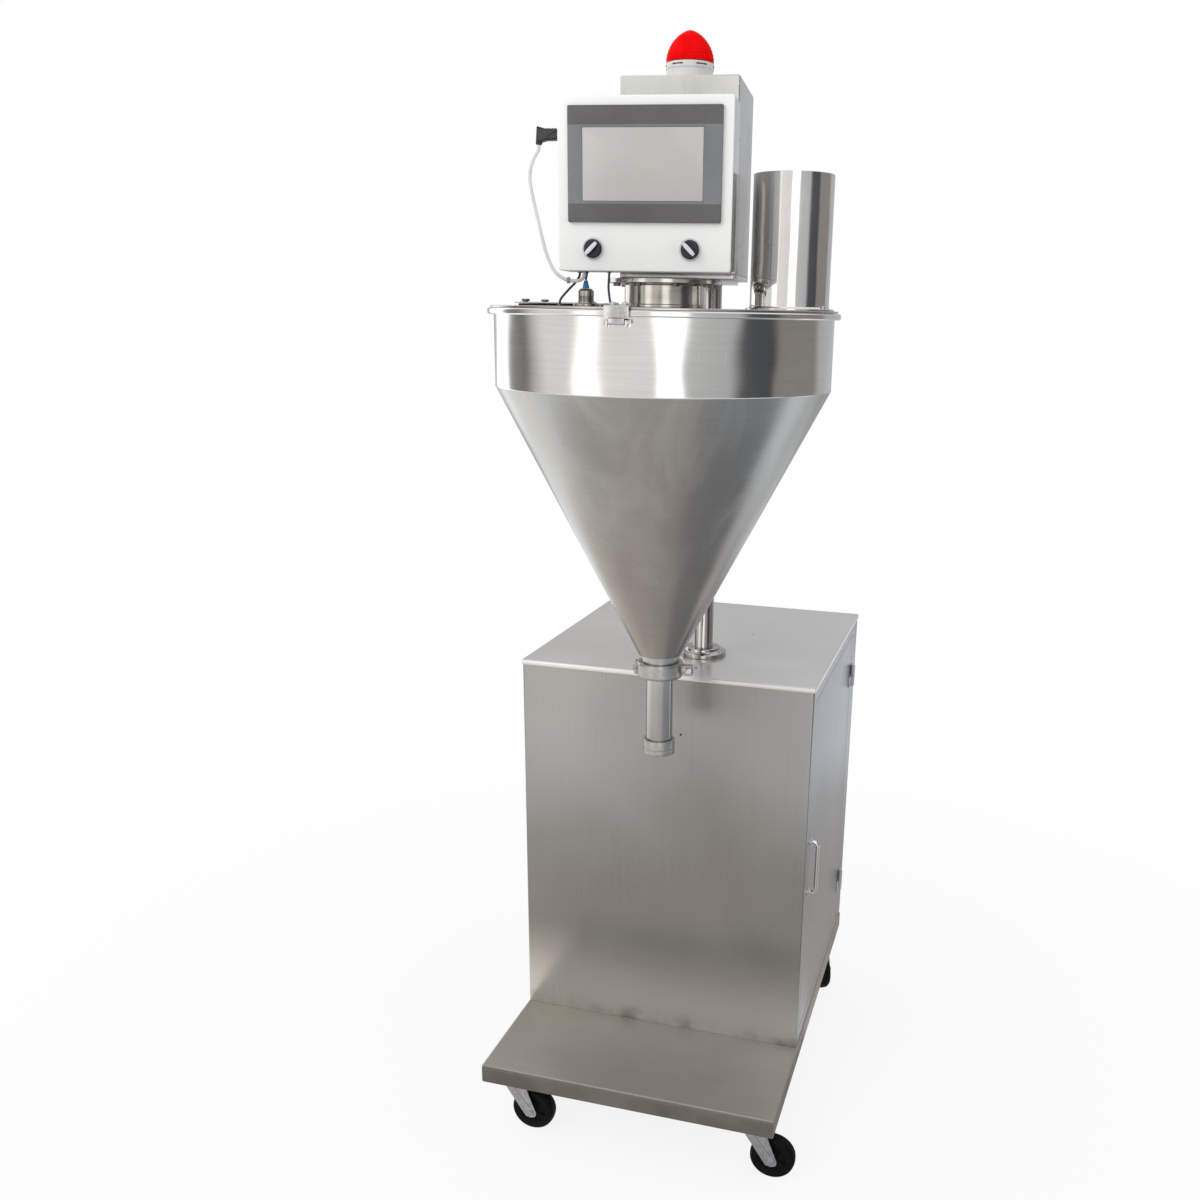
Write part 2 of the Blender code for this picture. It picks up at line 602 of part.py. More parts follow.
def hopper():
    bore = AUGER_TUBE_BORE
    wall = HOPPER_RADIUS - HOPPER_SHEET
    body = turned("hopper", [
        (RIM_RADIUS, RIM_TOP), (RIM_RADIUS, RIM_TOP - RIM_HEIGHT), (HOPPER_RADIUS, RIM_TOP - RIM_HEIGHT),
        (HOPPER_RADIUS, BEND_Z), (CONE_OUTLET_RADIUS, CONE_BOTTOM), (OUTLET_NECK_RADIUS, CONE_BOTTOM),
        (OUTLET_NECK_RADIUS, JOINT_Z + CLAMP_LIP), (CLAMP_LIP_RADIUS, JOINT_Z + CLAMP_LIP),
        (CLAMP_LIP_RADIUS, JOINT_Z + GAP), (bore, JOINT_Z + GAP), (bore, CONE_BOTTOM),
        (CONE_OUTLET_RADIUS - HOPPER_SHEET, CONE_BOTTOM + 0.002), (wall, BEND_Z), (wall, RIM_TOP)],
        hopper_axis, SATIN, sides=48)
    # Two ears under the rim carry each latch.
    root = -(HOPPER_RADIUS - HOPPER_SHEET / 2)
    inner = LATCH_KNUCKLE_HALF + GAP
    for name in LATCH_ANGLES:
        side = pivot("latch_side_" + name, hopper_axis, turn=latch_turn(name))
        for sign in (-1, 1):
            edges = sorted((sign * inner, sign * (inner + LATCH_EAR)))
            fuse(body, block(f"latch_ear_{name}_{sign}", (edges[0], 0.002 - PIVOT_REACH - 0.004, PIVOT_Z - 0.006),
                             (edges[1], root, PIVOT_Z + 0.0033), side))


LATCH_KNUCKLE_HALF = 0.010


def latch(name):
    # A swinging clip: its lip holds the lid down, its knuckle turns between the hopper's ears.
    side = pivot("latch_pivot_" + name, hopper_axis, turn=latch_turn(name))
    line = pivot("latch_line_" + name, side, (0, -PIVOT_REACH, PIVOT_Z))
    half = LATCH_WIDTH / 2
    outer = PIVOT_REACH - LATCH_REACH
    top = LID_TOP + GAP + LATCH_SHEET - PIVOT_Z
    knuckle = rod("lid_latch_" + name, LATCH_KNUCKLE_RADIUS, (-LATCH_KNUCKLE_HALF, 0, 0), 2 * LATCH_KNUCKLE_HALF, line,
                  SATIN, axis="X", sides=12)
    fuse(knuckle,
         block("latch_tongue_" + name, (0.0002 - LATCH_KNUCKLE_HALF, outer, 0),
               (LATCH_KNUCKLE_HALF - 0.0002, outer + LATCH_SHEET, 0.006), line),
         block("latch_plate_" + name, (-half, outer, 0.0045), (half, outer + LATCH_SHEET, top), line),
         block("latch_lip_" + name, (-half, outer, top - LATCH_SHEET), (half, outer + LATCH_REACH_IN + 0.006, top), line))
    for sign in (-1, 1):
        fuse(knuckle, rod(f"latch_screw_{name}_{sign}", 0.0042, (sign * 0.0075, outer + 0.013, top - 0.0005), 0.0040,
                          line, sides=12))


HATCH_RADIUS = LID_RADIUS - HATCH_EDGE_MARGIN
HATCH_CHORD = HATCH_RADIUS - HATCH_DEPTH
HATCH_HINGE_X = -HATCH_CHORD + 0.0040
HATCH_PLATE_Z = LID_TOP + GAP + HATCH_GASKET + GAP
HATCH_HINGE_Z = LID_TOP + 0.0045


def feed_centre():
    reach = LID_RADIUS - FEED_EDGE_MARGIN - FEED_RADIUS
    return reach * math.cos(FEED_ANGLE), reach * math.sin(FEED_ANGLE)


def hatch_shape(name, inset, low, high, parent, material=None):
    # The disc's left rear part, behind the hatch's front edge and left of its chord.
    disc = rod(name, HATCH_RADIUS - inset, (0, 0, low), high - low, parent, material, sides=64)
    keep(disc, block(name + "_bounds", (-HATCH_RADIUS, HATCH_FRONT + inset, low - 0.01),
                     (-HATCH_CHORD - inset, HATCH_RADIUS, high + 0.01), parent))
    return disc


def lid():
    cover = rod("hopper_lid", LID_RADIUS, (0, 0, LID_BOTTOM), LID_SHEET, hopper_axis, BRUSHED, sides=48)
    x, y = feed_centre()
    cut(cover,
        rod("lid_shaft_hole", SLEEVE_RADIUS + 0.002, (0, 0, LID_BOTTOM - 0.01), 0.03, hopper_axis),
        rod("lid_feed_hole", FEED_RADIUS - FEED_WALL, (x, y, LID_BOTTOM - 0.01), 0.03, hopper_axis, sides=32),
        rod("lid_probe_hole", 0.0055, (SENSOR_U, SENSOR_V, LID_BOTTOM - 0.01), 0.03, head_axis, sides=16),
        hatch_shape("lid_hatch_hole", HATCH_SEAT, LID_BOTTOM - 0.01, LID_TOP + 0.01, hopper_axis))

    gasket = hatch_shape("hatch_gasket", 0, LID_TOP + GAP, LID_TOP + GAP + HATCH_GASKET, hopper_axis, BLACK_RUBBER)
    cut(gasket, hatch_shape("gasket_hole", HATCH_SEAT, LID_TOP - 0.01, LID_TOP + 0.02, hopper_axis))

    hinge = pivot("hatch_hinge", hopper_axis, (HATCH_HINGE_X, 0, HATCH_HINGE_Z))
    pin = 0.0032
    flap = hatch_shape("hatch_cover", 0, HATCH_PLATE_Z, HATCH_PLATE_Z + HATCH_SHEET, hopper_axis, BRUSHED)
    for index, middle in enumerate((0.030, 0.130)):
        fuse(flap,
             rod(f"flap_knuckle_{index}", pin, (0, middle - 0.016, 0), 0.016, hinge, axis="Y", sides=12),
             block(f"flap_leaf_{index}", (-0.012, middle - 0.016, HATCH_PLATE_Z + 0.0005 - HATCH_HINGE_Z),
                   (0, middle, HATCH_PLATE_Z + HATCH_SHEET - HATCH_HINGE_Z), hinge))
        fuse(cover,
             rod(f"lid_knuckle_{index}", pin, (0, middle + GAP, 0), 0.016, hinge, axis="Y", sides=12),
             block(f"lid_knuckle_base_{index}", (-0.002, middle + GAP, LID_TOP - 0.001 - HATCH_HINGE_Z),
                   (0.010, middle + GAP + 0.016, 0), hinge))
    for index, angle in enumerate((168, 186)):
        reach = HATCH_RADIUS - 0.012
        x = reach * math.cos(math.radians(angle))
        y = reach * math.sin(math.radians(angle)) + 0.012
        fuse(flap, rod(f"hatch_screw_{index}", 0.006, (x, y, HATCH_PLATE_Z + 0.001), 0.005, hopper_axis, sides=12))


def feed_tube():
    x, y = feed_centre()
    low = LID_TOP + GAP
    high = low + FEED_HEIGHT
    bore = FEED_RADIUS - FEED_WALL
    turned("feed_inlet_tube", [(FEED_RADIUS, high), (FEED_RADIUS, low + 0.0025), (FEED_RADIUS + FEED_FLANGE, low + 0.0025),
                               (FEED_RADIUS + FEED_FLANGE, low), (bore, low), (bore, high)],
           hopper_axis, POLISHED, (x, y, 0), sides=36)


def level_sensor():
    low = LID_TOP + GAP
    place = (SENSOR_U, SENSOR_V, low)
    body = rod("level_sensor", SENSOR_BASE_RADIUS, place, 0.004, head_axis, SATIN)
    fuse(body, rod("sensor_barrel", SENSOR_RADIUS, (SENSOR_U, SENSOR_V, low + 0.002), 0.0205, head_axis),
         rod("sensor_probe", 0.004, (SENSOR_U, SENSOR_V, low - 0.030), 0.034, head_axis, sides=16))
    rod("sensor_boot", 0.0045, (SENSOR_U, SENSOR_V, low + 0.0225 + GAP), 0.010, head_axis, BLUE_PLASTIC,
        sides=16, top=0.0024)


# ---- clamped auger tube ------------------------------------------------------------------


def tube_clamp():
    low = JOINT_Z - CLAMP_HEIGHT / 2
    high = low + CLAMP_HEIGHT
    neck = OUTLET_NECK_RADIUS + GAP
    lip = CLAMP_LIP_RADIUS + GAP
    groove = CLAMP_LIP + GAP
    section = [(CLAMP_RADIUS - 0.002, high), (CLAMP_RADIUS, high - 0.003), (CLAMP_RADIUS, low + 0.003),
               (CLAMP_RADIUS - 0.002, low), (neck, low), (neck, JOINT_Z - groove), (lip, JOINT_Z - groove),
               (lip, JOINT_Z + groove), (neck, JOINT_Z + groove), (neck, high)]
    far = CLAMP_RADIUS + 0.03
    bolt_x = CLAMP_RADIUS + 0.0105
    for name, sign in (("front", -1), ("rear", 1)):
        half = turned("tube_clamp_" + name, section, head_axis, SATIN, sides=28)
        edges = sorted((-sign * far, sign * CLAMP_SPLIT / 2))
        cut(half, block("clamp_half_cut_" + name, (-far, edges[0], low - 0.01), (far, edges[1], high + 0.01), head_axis))
        ear = sorted((sign * CLAMP_SPLIT / 2, sign * 0.0065))
        lug = block("clamp_lug_" + name, (CLAMP_RADIUS - 0.003, ear[0], low + 0.004),
                    (CLAMP_RADIUS + 0.0160, ear[1], high - 0.004), head_axis)
        knuckle = block("clamp_knuckle_" + name, (-CLAMP_RADIUS - 0.007, ear[0], low + 0.001),
                        (0.003 - CLAMP_RADIUS, sorted((sign * 0.0006, sign * 0.0048))[1] if sign > 0 else ear[1],
                         high - 0.001), head_axis)
        fuse(half, lug, knuckle)
        cut(half, rod("clamp_bolt_hole_" + name, 0.0033, (bolt_x, -0.02, JOINT_Z), 0.04, head_axis, axis="Y", sides=16))

    # The swing bolt's wing nut bears on the rear lug.
    nut_line = pivot("wing_nut_line", head_axis, (bolt_x, 0, JOINT_Z))
    nut = rod("clamp_wing_nut", 0.003, (0, -0.0095, 0), 0.024, nut_line, STEEL, axis="Y", sides=16)
    fuse(nut, rod("wing_nut_hub", 0.0058, (0, 0.0065 + GAP, 0), 0.006, nut_line, axis="Y", sides=16),
         block("wing_nut_wings", (-0.0105, 0.0065 + GAP + 0.0015, -0.0013), (0.0105, 0.0165, 0.0013), nut_line),
         rod("swing_bolt_head", 0.0052, (0, -0.0095, 0), 0.0027, nut_line, axis="Y", sides=16))


def auger_tube():
    bottom = NOZZLE_Z + END_COLLAR_LIP + GAP
    turned("auger_tube", [(CLAMP_LIP_RADIUS, JOINT_Z), (CLAMP_LIP_RADIUS, JOINT_Z - CLAMP_LIP),
                          (AUGER_TUBE_RADIUS, JOINT_Z - CLAMP_LIP), (AUGER_TUBE_RADIUS, bottom),
                          (AUGER_TUBE_BORE, bottom), (AUGER_TUBE_BORE, JOINT_Z)], head_axis, POLISHED, sides=32)
    high = NOZZLE_Z + END_COLLAR_HEIGHT
    seat = AUGER_TUBE_RADIUS + GAP
    turned("tube_end_collar", [(END_COLLAR_RADIUS - 0.001, high), (END_COLLAR_RADIUS, high - 0.001),
                               (END_COLLAR_RADIUS, NOZZLE_Z), (AUGER_TUBE_BORE, NOZZLE_Z),
                               (AUGER_TUBE_BORE, NOZZLE_Z + END_COLLAR_LIP), (seat, NOZZLE_Z + END_COLLAR_LIP),
                               (seat, high)], head_axis, SATIN, sides=24)


# ---- auger, agitator and their drives ---------------------------------------------------------


def auger():
    low = NOZZLE_Z + 0.004
    turns = round((JOINT_Z + 0.050 - low) / AUGER_PITCH)
    mesh = bpy.data.meshes.new("auger_flight")
    start = low + AUGER_FLIGHT / 2
    mesh.from_pydata([(AUGER_SHAFT_RADIUS - 0.003, 0, start), (AUGER_RADIUS, 0, start)], [(0, 1)], [])
    flight = add("auger_flight", mesh, head_axis)
    screw = flight.modifiers.new("flight", "SCREW")
    screw.angle = turns * 2 * math.pi
    screw.screw_offset = turns * AUGER_PITCH
    screw.steps = 14 * turns
    screw.render_steps = 14 * turns
    blade = flight.modifiers.new("blade", "SOLIDIFY")
    blade.thickness = AUGER_FLIGHT
    blade.offset = 0
    shaft = rod("auger", AUGER_SHAFT_RADIUS, (0, 0, low), COUPLING_BOTTOM + 0.005 - low, head_axis, SATIN)
    fuse(shaft, flight, rod("auger_coupling", SLEEVE_RADIUS, (0, 0, COUPLING_BOTTOM), COUPLING_TOP - COUPLING_BOTTOM,
                            head_axis))


def agitator():
    low = LID_BOTTOM - 0.050
    sleeve = rod("agitator", SLEEVE_RADIUS, (0, 0, low), GEAR_TOP + 0.003 - low, head_axis, SATIN, sides=32)
    arm = HOPPER_RADIUS - SCRAPER_CLEARANCE
    foot = CONE_BOTTOM + SCRAPER_FOOT
    tip = cone_radius(foot) - SCRAPER_CLEARANCE
    bend = BEND_Z + 0.004
    fuse(sleeve, block("agitator_arm", (-arm + 0.001, -SCRAPER_THICKNESS / 2, low), (arm - 0.001, SCRAPER_THICKNESS / 2, low + 0.010),
                       head_axis))
    for sign in (-1, 1):
        blade = [(sign * arm, low + 0.010), (sign * arm, bend), (sign * tip, foot),
                 (sign * (tip - SCRAPER_WIDTH), foot), (sign * (arm - SCRAPER_WIDTH), bend + 0.002),
                 (sign * (arm - SCRAPER_WIDTH), low + 0.010)]
        fuse(sleeve, outline(f"scraper_{sign}", blade, SCRAPER_THICKNESS * 0.8, head_axis, rotation=(math.pi / 2, 0, 0)))
    cut(sleeve, rod("sleeve_bore", AUGER_SHAFT_RADIUS + GAP, (0, 0, low - 0.02), 0.2, head_axis))


def gear_outline(teeth, phase):
    pitch_radius = GEAR_MODULE * teeth / 2
    root = pitch_radius - 1.2 * GEAR_MODULE
    tip = pitch_radius + 0.8 * GEAR_MODULE
    step = 2 * math.pi / teeth
    points = []
    for tooth in range(teeth):
        middle = phase + tooth * step
        for radius, share in ((root, -0.34), (tip, -0.13), (tip, 0.13), (root, 0.34)):
            angle = middle + share * step
            points.append((radius * math.cos(angle), radius * math.sin(angle)))
    return points


PINION_V = GEAR_MODULE * (WHEEL_TEETH + PINION_TEETH) / 2


def gears():
    middle = (GEAR_BOTTOM + GEAR_TOP) / 2
    quarter = math.pi / 2
    wheel = outline("agitator_gear", gear_outline(WHEEL_TEETH, quarter), GEAR_WIDTH, head_axis, STEEL, (0, 0, middle))
    cut(wheel, rod("gear_bore", SLEEVE_RADIUS + GAP, (0, 0, GEAR_BOTTOM - 0.01), 0.04, head_axis, sides=32))
    # A tooth of the wheel points at the pinion, so the pinion turns a gap towards it.
    line = pivot("pinion_line", head_axis, (0, PINION_V, 0))
    phase = -quarter + math.pi / PINION_TEETH
    pinion = outline("agitator_pinion", gear_outline(PINION_TEETH, phase), GEAR_WIDTH, line, STEEL, (0, 0, middle))
    fuse(pinion, rod("pinion_hub", 0.011, (0, 0, GEAR_TOP - 0.001), 0.012, line))


def drives():
    # A bridge on four posts carries both motors above the gears.
    left, right = -0.0495, 0.0495
    front, back = -0.0465, PINION_V + 0.037
    bridge = block("motor_mount", (left, front, MOUNT_BOTTOM), (right, back, MOUNT_TOP), head_axis, ALUMINIUM)
    for x in (left + 0.0005, right - 0.0085):
        for y in (front + 0.0005, back - 0.0085):
            fuse(bridge, block(f"mount_post_{x:.3f}_{y:.3f}", (x, y, PLATE_TOP + GAP), (x + 0.008, y + 0.008, MOUNT_TOP - 0.002),
                               head_axis))
    cut(bridge, rod("servo_pilot_hole", 0.0185, (0, 0, MOUNT_BOTTOM - 0.01), 0.03, head_axis),
        rod("gearmotor_pilot_hole", 0.012, (0, PINION_V, MOUNT_BOTTOM - 0.01), 0.03, head_axis))

    base = MOUNT_TOP + GAP
    half = SERVO_SIZE / 2
    servo = block("auger_motor", (-half, -half, base), (half, half, base + SERVO_LENGTH), head_axis, BLACK_PLASTIC)
    fuse(servo, rod("servo_shaft", 0.007, (0, 0, COUPLING_TOP + GAP), base + 0.002 - COUPLING_TOP, head_axis, sides=16))
    gearmotor = rod("agitator_motor", GEARMOTOR_RADIUS, (0, PINION_V, base), GEARMOTOR_LENGTH, head_axis, ZINC)
    shaft_end = GEAR_TOP + 0.011 + GAP
    fuse(gearmotor, rod("gearmotor_shaft", 0.005, (0, PINION_V, shaft_end), base + 0.002 - shaft_end, head_axis, sides=16))


# ---- head ----------------------------------------------------------------------------------------


def column_in_head():
    # The column's place in the head's own turned frame.
    x, y = COLUMN_X - HOPPER_X, COLUMN_Y - HOPPER_Y
    return (x * math.cos(HEAD_YAW) + y * math.sin(HEAD_YAW), y * math.cos(HEAD_YAW) - x * math.sin(HEAD_YAW))


def head():
    bore = SLEEVE_RADIUS + GAP
    low = LID_TOP + GAP
    turned("bearing_housing", [(NECK_FLANGE_RADIUS, FLANGE_TOP), (NECK_FLANGE_RADIUS, FLANGE_TOP - NECK_FLANGE_HEIGHT),
                               (NECK_RADIUS, FLANGE_TOP - NECK_FLANGE_HEIGHT), (NECK_RADIUS, low), (bore, low),
                               (bore, FLANGE_TOP)], head_axis, BRUSHED, sides=36)

    left, right = HOUSING_CENTRE - HOUSING_WIDTH / 2, HOUSING_CENTRE + HOUSING_WIDTH / 2
    column_u, column_v = column_in_head()
    arm_left, arm_right, arm_back = column_u - ARM_HALF_WIDTH, column_u + ARM_HALF_WIDTH, column_v + ARM_HALF_WIDTH
    shape = [(left, HOUSING_FRONT), (right, HOUSING_FRONT), (right, HOUSING_BACK), (arm_right, HOUSING_BACK + 0.02),
             (arm_right, arm_back), (arm_left, arm_back), (arm_left, HOUSING_BACK + 0.02), (left, HOUSING_BACK)]
    plate = outline("head_plate", shape, HEAD_PLATE_THICKNESS, head_axis, BRUSHED, (0, 0, (PLATE_BOTTOM + PLATE_TOP) / 2))
    cut(plate, rod("plate_shaft_hole", bore, (0, 0, PLATE_BOTTOM - 0.01), 0.03, head_axis, sides=32),
        rod("plate_column_hole", COLUMN_RADIUS + GAP, (column_u, column_v, PLATE_BOTTOM - 0.01), 0.03, head_axis, sides=32))

    housing = block("head_housing", (left, HOUSING_FRONT, HOUSING_BOTTOM), (right, HOUSING_BACK, HOUSING_TOP),
                    head_axis, BRUSHED)
    cut(housing, block("housing_hollow", (left + HOUSING_SHEET, HOUSING_FRONT + HOUSING_SHEET, HOUSING_BOTTOM - 0.01),
                       (right - HOUSING_SHEET, HOUSING_BACK - HOUSING_SHEET, HOUSING_TOP - HOUSING_SHEET), head_axis))

    left, right = HMI_CENTRE - HMI_WIDTH / 2, HMI_CENTRE + HMI_WIDTH / 2
    panel = block("hmi_box", (left, HMI_FRONT, HMI_BOTTOM), (right, HMI_BACK, HMI_TOP), head_axis, WHITE_PAINT)
    # Its wiring passes through the back into the housing.
    passage = ((left + right) / 2, HMI_BACK - 0.01, HMI_BOTTOM + HMI_HEIGHT / 2)
    cut(panel,
        block("hmi_hollow", (left + HOUSING_SHEET, HMI_FRONT + HOUSING_SHEET, HMI_BOTTOM + HOUSING_SHEET),
              (right - HOUSING_SHEET, HMI_BACK - HOUSING_SHEET, HMI_TOP - HOUSING_SHEET), head_axis),
        rod("hmi_passage", PASSAGE_RADIUS, passage, 0.02, head_axis, axis="Y"))
    cut(housing, rod("housing_passage", PASSAGE_RADIUS, passage, 0.02, head_axis, axis="Y"))

    top = HMI_TOP - BEZEL_FROM_TOP
    face = HMI_FRONT - GAP
    front = face - BEZEL_THICKNESS
    left, right = BEZEL_CENTRE - BEZEL_WIDTH / 2, BEZEL_CENTRE + BEZEL_WIDTH / 2
    bezel = block("hmi_bezel", (left, front, top - BEZEL_HEIGHT), (right, face, top), head_axis, GREY_PLASTIC)
    middle = BEZEL_CENTRE + SCREEN_SHIFT
    high = top - (BEZEL_HEIGHT - SCREEN_HEIGHT) / 2
    glass_left, glass_right = middle - SCREEN_WIDTH / 2, middle + SCREEN_WIDTH / 2
    pocket = front + SCREEN_RECESS
    cut(bezel, block("screen_pocket", (glass_left, front - 0.01, high - SCREEN_HEIGHT), (glass_right, pocket, high), head_axis))
    block("hmi_screen", (glass_left + GAP, front + 0.0003, high - SCREEN_HEIGHT + GAP),
          (glass_right - GAP, pocket - GAP, high - GAP), head_axis, SCREEN_GREY)

    for name, sign in (("left", -1), ("right", 1)):
        line = pivot("knob_line_" + name, head_axis,
                     (KNOB_CENTRE + sign * KNOB_SPACING / 2, HMI_FRONT - GAP, HMI_BOTTOM + KNOB_FROM_BOTTOM))
        tilt = pivot("knob_tilt_" + name, line)
        tilt.rotation_euler[1] = -sign * math.radians(45)
        knob = rod("selector_knob_" + name, KNOB_RADIUS, (0, -KNOB_HEIGHT, 0), KNOB_HEIGHT, tilt, NAVY_PLASTIC, axis="Y")
        fuse(knob, block("knob_bar_" + name, (-0.0024, -KNOB_HEIGHT - 0.006, 0.001 - KNOB_RADIUS),
                         (0.0024, 0.001 - KNOB_HEIGHT, KNOB_RADIUS - 0.001), tilt))


def beacon():
    place = (HOUSING_CENTRE, (HOUSING_FRONT + HOUSING_BACK) / 2, 0)
    low = HOUSING_TOP + GAP
    turned("beacon_base", [(0, BEACON_JOINT), (BEACON_RADIUS, BEACON_JOINT), (BEACON_RADIUS, BEACON_JOINT - 0.008),
                           (BEACON_RADIUS - 0.0015, BEACON_JOINT - 0.010), (BEACON_RADIUS - 0.0015, low), (0, low)],
           head_axis, PALE_PLASTIC, place, sides=32)
    seat = BEACON_JOINT + GAP
    wall = 0.002
    outer, inner = [], []
    for step in range(7):
        angle = math.radians(90 - 15 * step)
        outer.append((BEACON_RADIUS * math.cos(angle) ** 0.8 if step else 0.0,
                      seat + BEACON_LENS_HEIGHT * math.sin(angle)))
        inner.append(((BEACON_RADIUS - wall) * math.cos(angle) ** 0.8 if step else 0.0,
                      seat + (BEACON_LENS_HEIGHT - wall) * math.sin(angle)))
    turned("beacon_lens", outer + inner[::-1], head_axis, RED_LENS, place, sides=24)


def cables():
    side = HMI_CENTRE - HMI_WIDTH / 2
    left = side - GAP
    hood_v = HMI_FRONT + 0.020
    outline("cable_hood", [(left, 1.5751), (side - 0.0310, 1.5785), (side - 0.0325, 1.5572), (left, 1.5613)], 0.013, head_axis,
            BLACK_PLASTIC, (0, hood_v, 0), (math.pi / 2, 0, 0))
    under_box = HMI_BOTTOM - 0.0010
    on_lid = LID_TOP + 0.0006
    cable("hmi_cable", [(side - 0.0290, hood_v, 1.5563), (side - 0.0292, hood_v, 1.5520), (side - 0.0315, hood_v, 1.5470),
                        (side - 0.0380, hood_v, 1.5400), (side - 0.0420, hood_v, 1.5285), (side - 0.0419, hood_v, 1.5136),
                        (side - 0.0382, hood_v, 1.4932), (side - 0.0330, hood_v, 1.4709), (side - 0.0277, hood_v, 1.4487),
                        (side - 0.0215, hood_v, 1.4263), (side - 0.0130, hood_v, 1.4075), (side - 0.0031, hood_v, 1.3975),
                        (side + 0.0080, hood_v, 1.3930), (side + 0.0200, hood_v, 1.3925), (side + 0.0278, hood_v, 1.3965),
                        (side + 0.0296, hood_v, under_box)],
          0.0045, head_axis, WHITE_CABLE)
    cable("lid_cable_left", [(-0.1025, -0.066, under_box), (-0.1028, -0.067, 1.3990), (-0.1070, -0.071, 1.3910),
                             (-0.1165, -0.077, 1.3800), (-0.1245, -0.083, 1.3690), (-0.1250, -0.085, on_lid)],
          0.003, head_axis, DARK_CABLE)
    cable("lid_cable_right", [(-0.0584, -0.085, under_box), (-0.0590, -0.085, 1.3960), (-0.0595, -0.085, 1.3850),
                              (-0.0585, -0.085, 1.3740), (-0.0560, -0.085, on_lid)], 0.003, head_axis, DARK_CABLE)
    # The sensor's lead rises from its boot to the underside of the box.
    boot_top = LID_TOP + 2 * GAP + 0.0325 + 2 * GAP
    cable("sensor_cable", [(SENSOR_U, SENSOR_V, boot_top), (SENSOR_U + 0.0004, SENSOR_V, boot_top + 0.003),
                           (SENSOR_U + 0.0012, SENSOR_V + 0.0004, boot_top + 0.0065),
                           (SENSOR_U + 0.0016, SENSOR_V + 0.0006, under_box)], 0.003, head_axis, DARK_CABLE)


base_tray()
for place, (x, y) in CASTER_PLACES.items():
    caster(place, x, y)
cabinet()
column()
hopper()
for name in LATCH_ANGLES:
    latch(name)
lid()
feed_tube()
level_sensor()
tube_clamp()
auger_tube()
auger()
agitator()
gears()
drives()
head()
beacon()
cables()
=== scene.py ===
# Semi-automatic auger filler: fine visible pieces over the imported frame. Metres, +Z up.
import json
import math

import bmesh
import bpy
from mathutils import Matrix, Vector


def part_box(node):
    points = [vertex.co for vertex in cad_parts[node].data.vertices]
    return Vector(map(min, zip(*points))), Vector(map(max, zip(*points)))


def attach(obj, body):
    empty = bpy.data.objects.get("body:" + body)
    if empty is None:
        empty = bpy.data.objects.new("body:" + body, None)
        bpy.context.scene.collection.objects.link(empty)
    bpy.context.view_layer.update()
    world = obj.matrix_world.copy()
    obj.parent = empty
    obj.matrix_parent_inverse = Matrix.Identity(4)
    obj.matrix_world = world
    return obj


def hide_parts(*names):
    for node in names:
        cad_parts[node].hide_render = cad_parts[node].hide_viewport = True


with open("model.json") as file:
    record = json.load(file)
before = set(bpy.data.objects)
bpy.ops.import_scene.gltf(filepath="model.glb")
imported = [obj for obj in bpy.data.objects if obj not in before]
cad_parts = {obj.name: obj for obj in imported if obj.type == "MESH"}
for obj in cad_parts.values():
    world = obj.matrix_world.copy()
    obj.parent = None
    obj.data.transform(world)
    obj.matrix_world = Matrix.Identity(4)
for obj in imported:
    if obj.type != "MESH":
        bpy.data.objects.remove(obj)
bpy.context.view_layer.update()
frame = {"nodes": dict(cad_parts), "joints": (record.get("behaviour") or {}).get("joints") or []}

nodes = frame["nodes"]
joints = {joint["name"]: joint for joint in frame["joints"]}
scene = bpy.context.scene
print("frame loaded:", len(nodes), "nodes")

# camera, light and floor

camera = {"place": (0.49955, -1.826363, 1.3552), "yaw": 15.312, "pitch": 16.473, "roll": 1.106,
          "lens": 35.31, "shiftX": -0.0698, "shiftY": 0.0506}


def addCamera():
    yaw, pitch, roll = (math.radians(camera[key]) for key in ("yaw", "pitch", "roll"))
    ahead = Vector((-math.sin(yaw) * math.cos(pitch), math.cos(yaw) * math.cos(pitch), -math.sin(pitch)))
    across = Vector((math.cos(yaw), math.sin(yaw), 0))
    upward = across.cross(ahead)
    across, upward = (across * math.cos(roll) + upward * math.sin(roll),
                      upward * math.cos(roll) - across * math.sin(roll))
    data = bpy.data.cameras.new("camera")
    data.lens = camera["lens"]
    data.shift_x = camera["shiftX"]
    data.shift_y = camera["shiftY"]
    data.clip_end = 60
    seer = bpy.data.objects.new("camera", data)
    turn = Matrix((across, upward, -ahead)).transposed().to_4x4()
    seer.matrix_world = Matrix.Translation(camera["place"]) @ turn
    scene.collection.objects.link(seer)
    scene.camera = seer


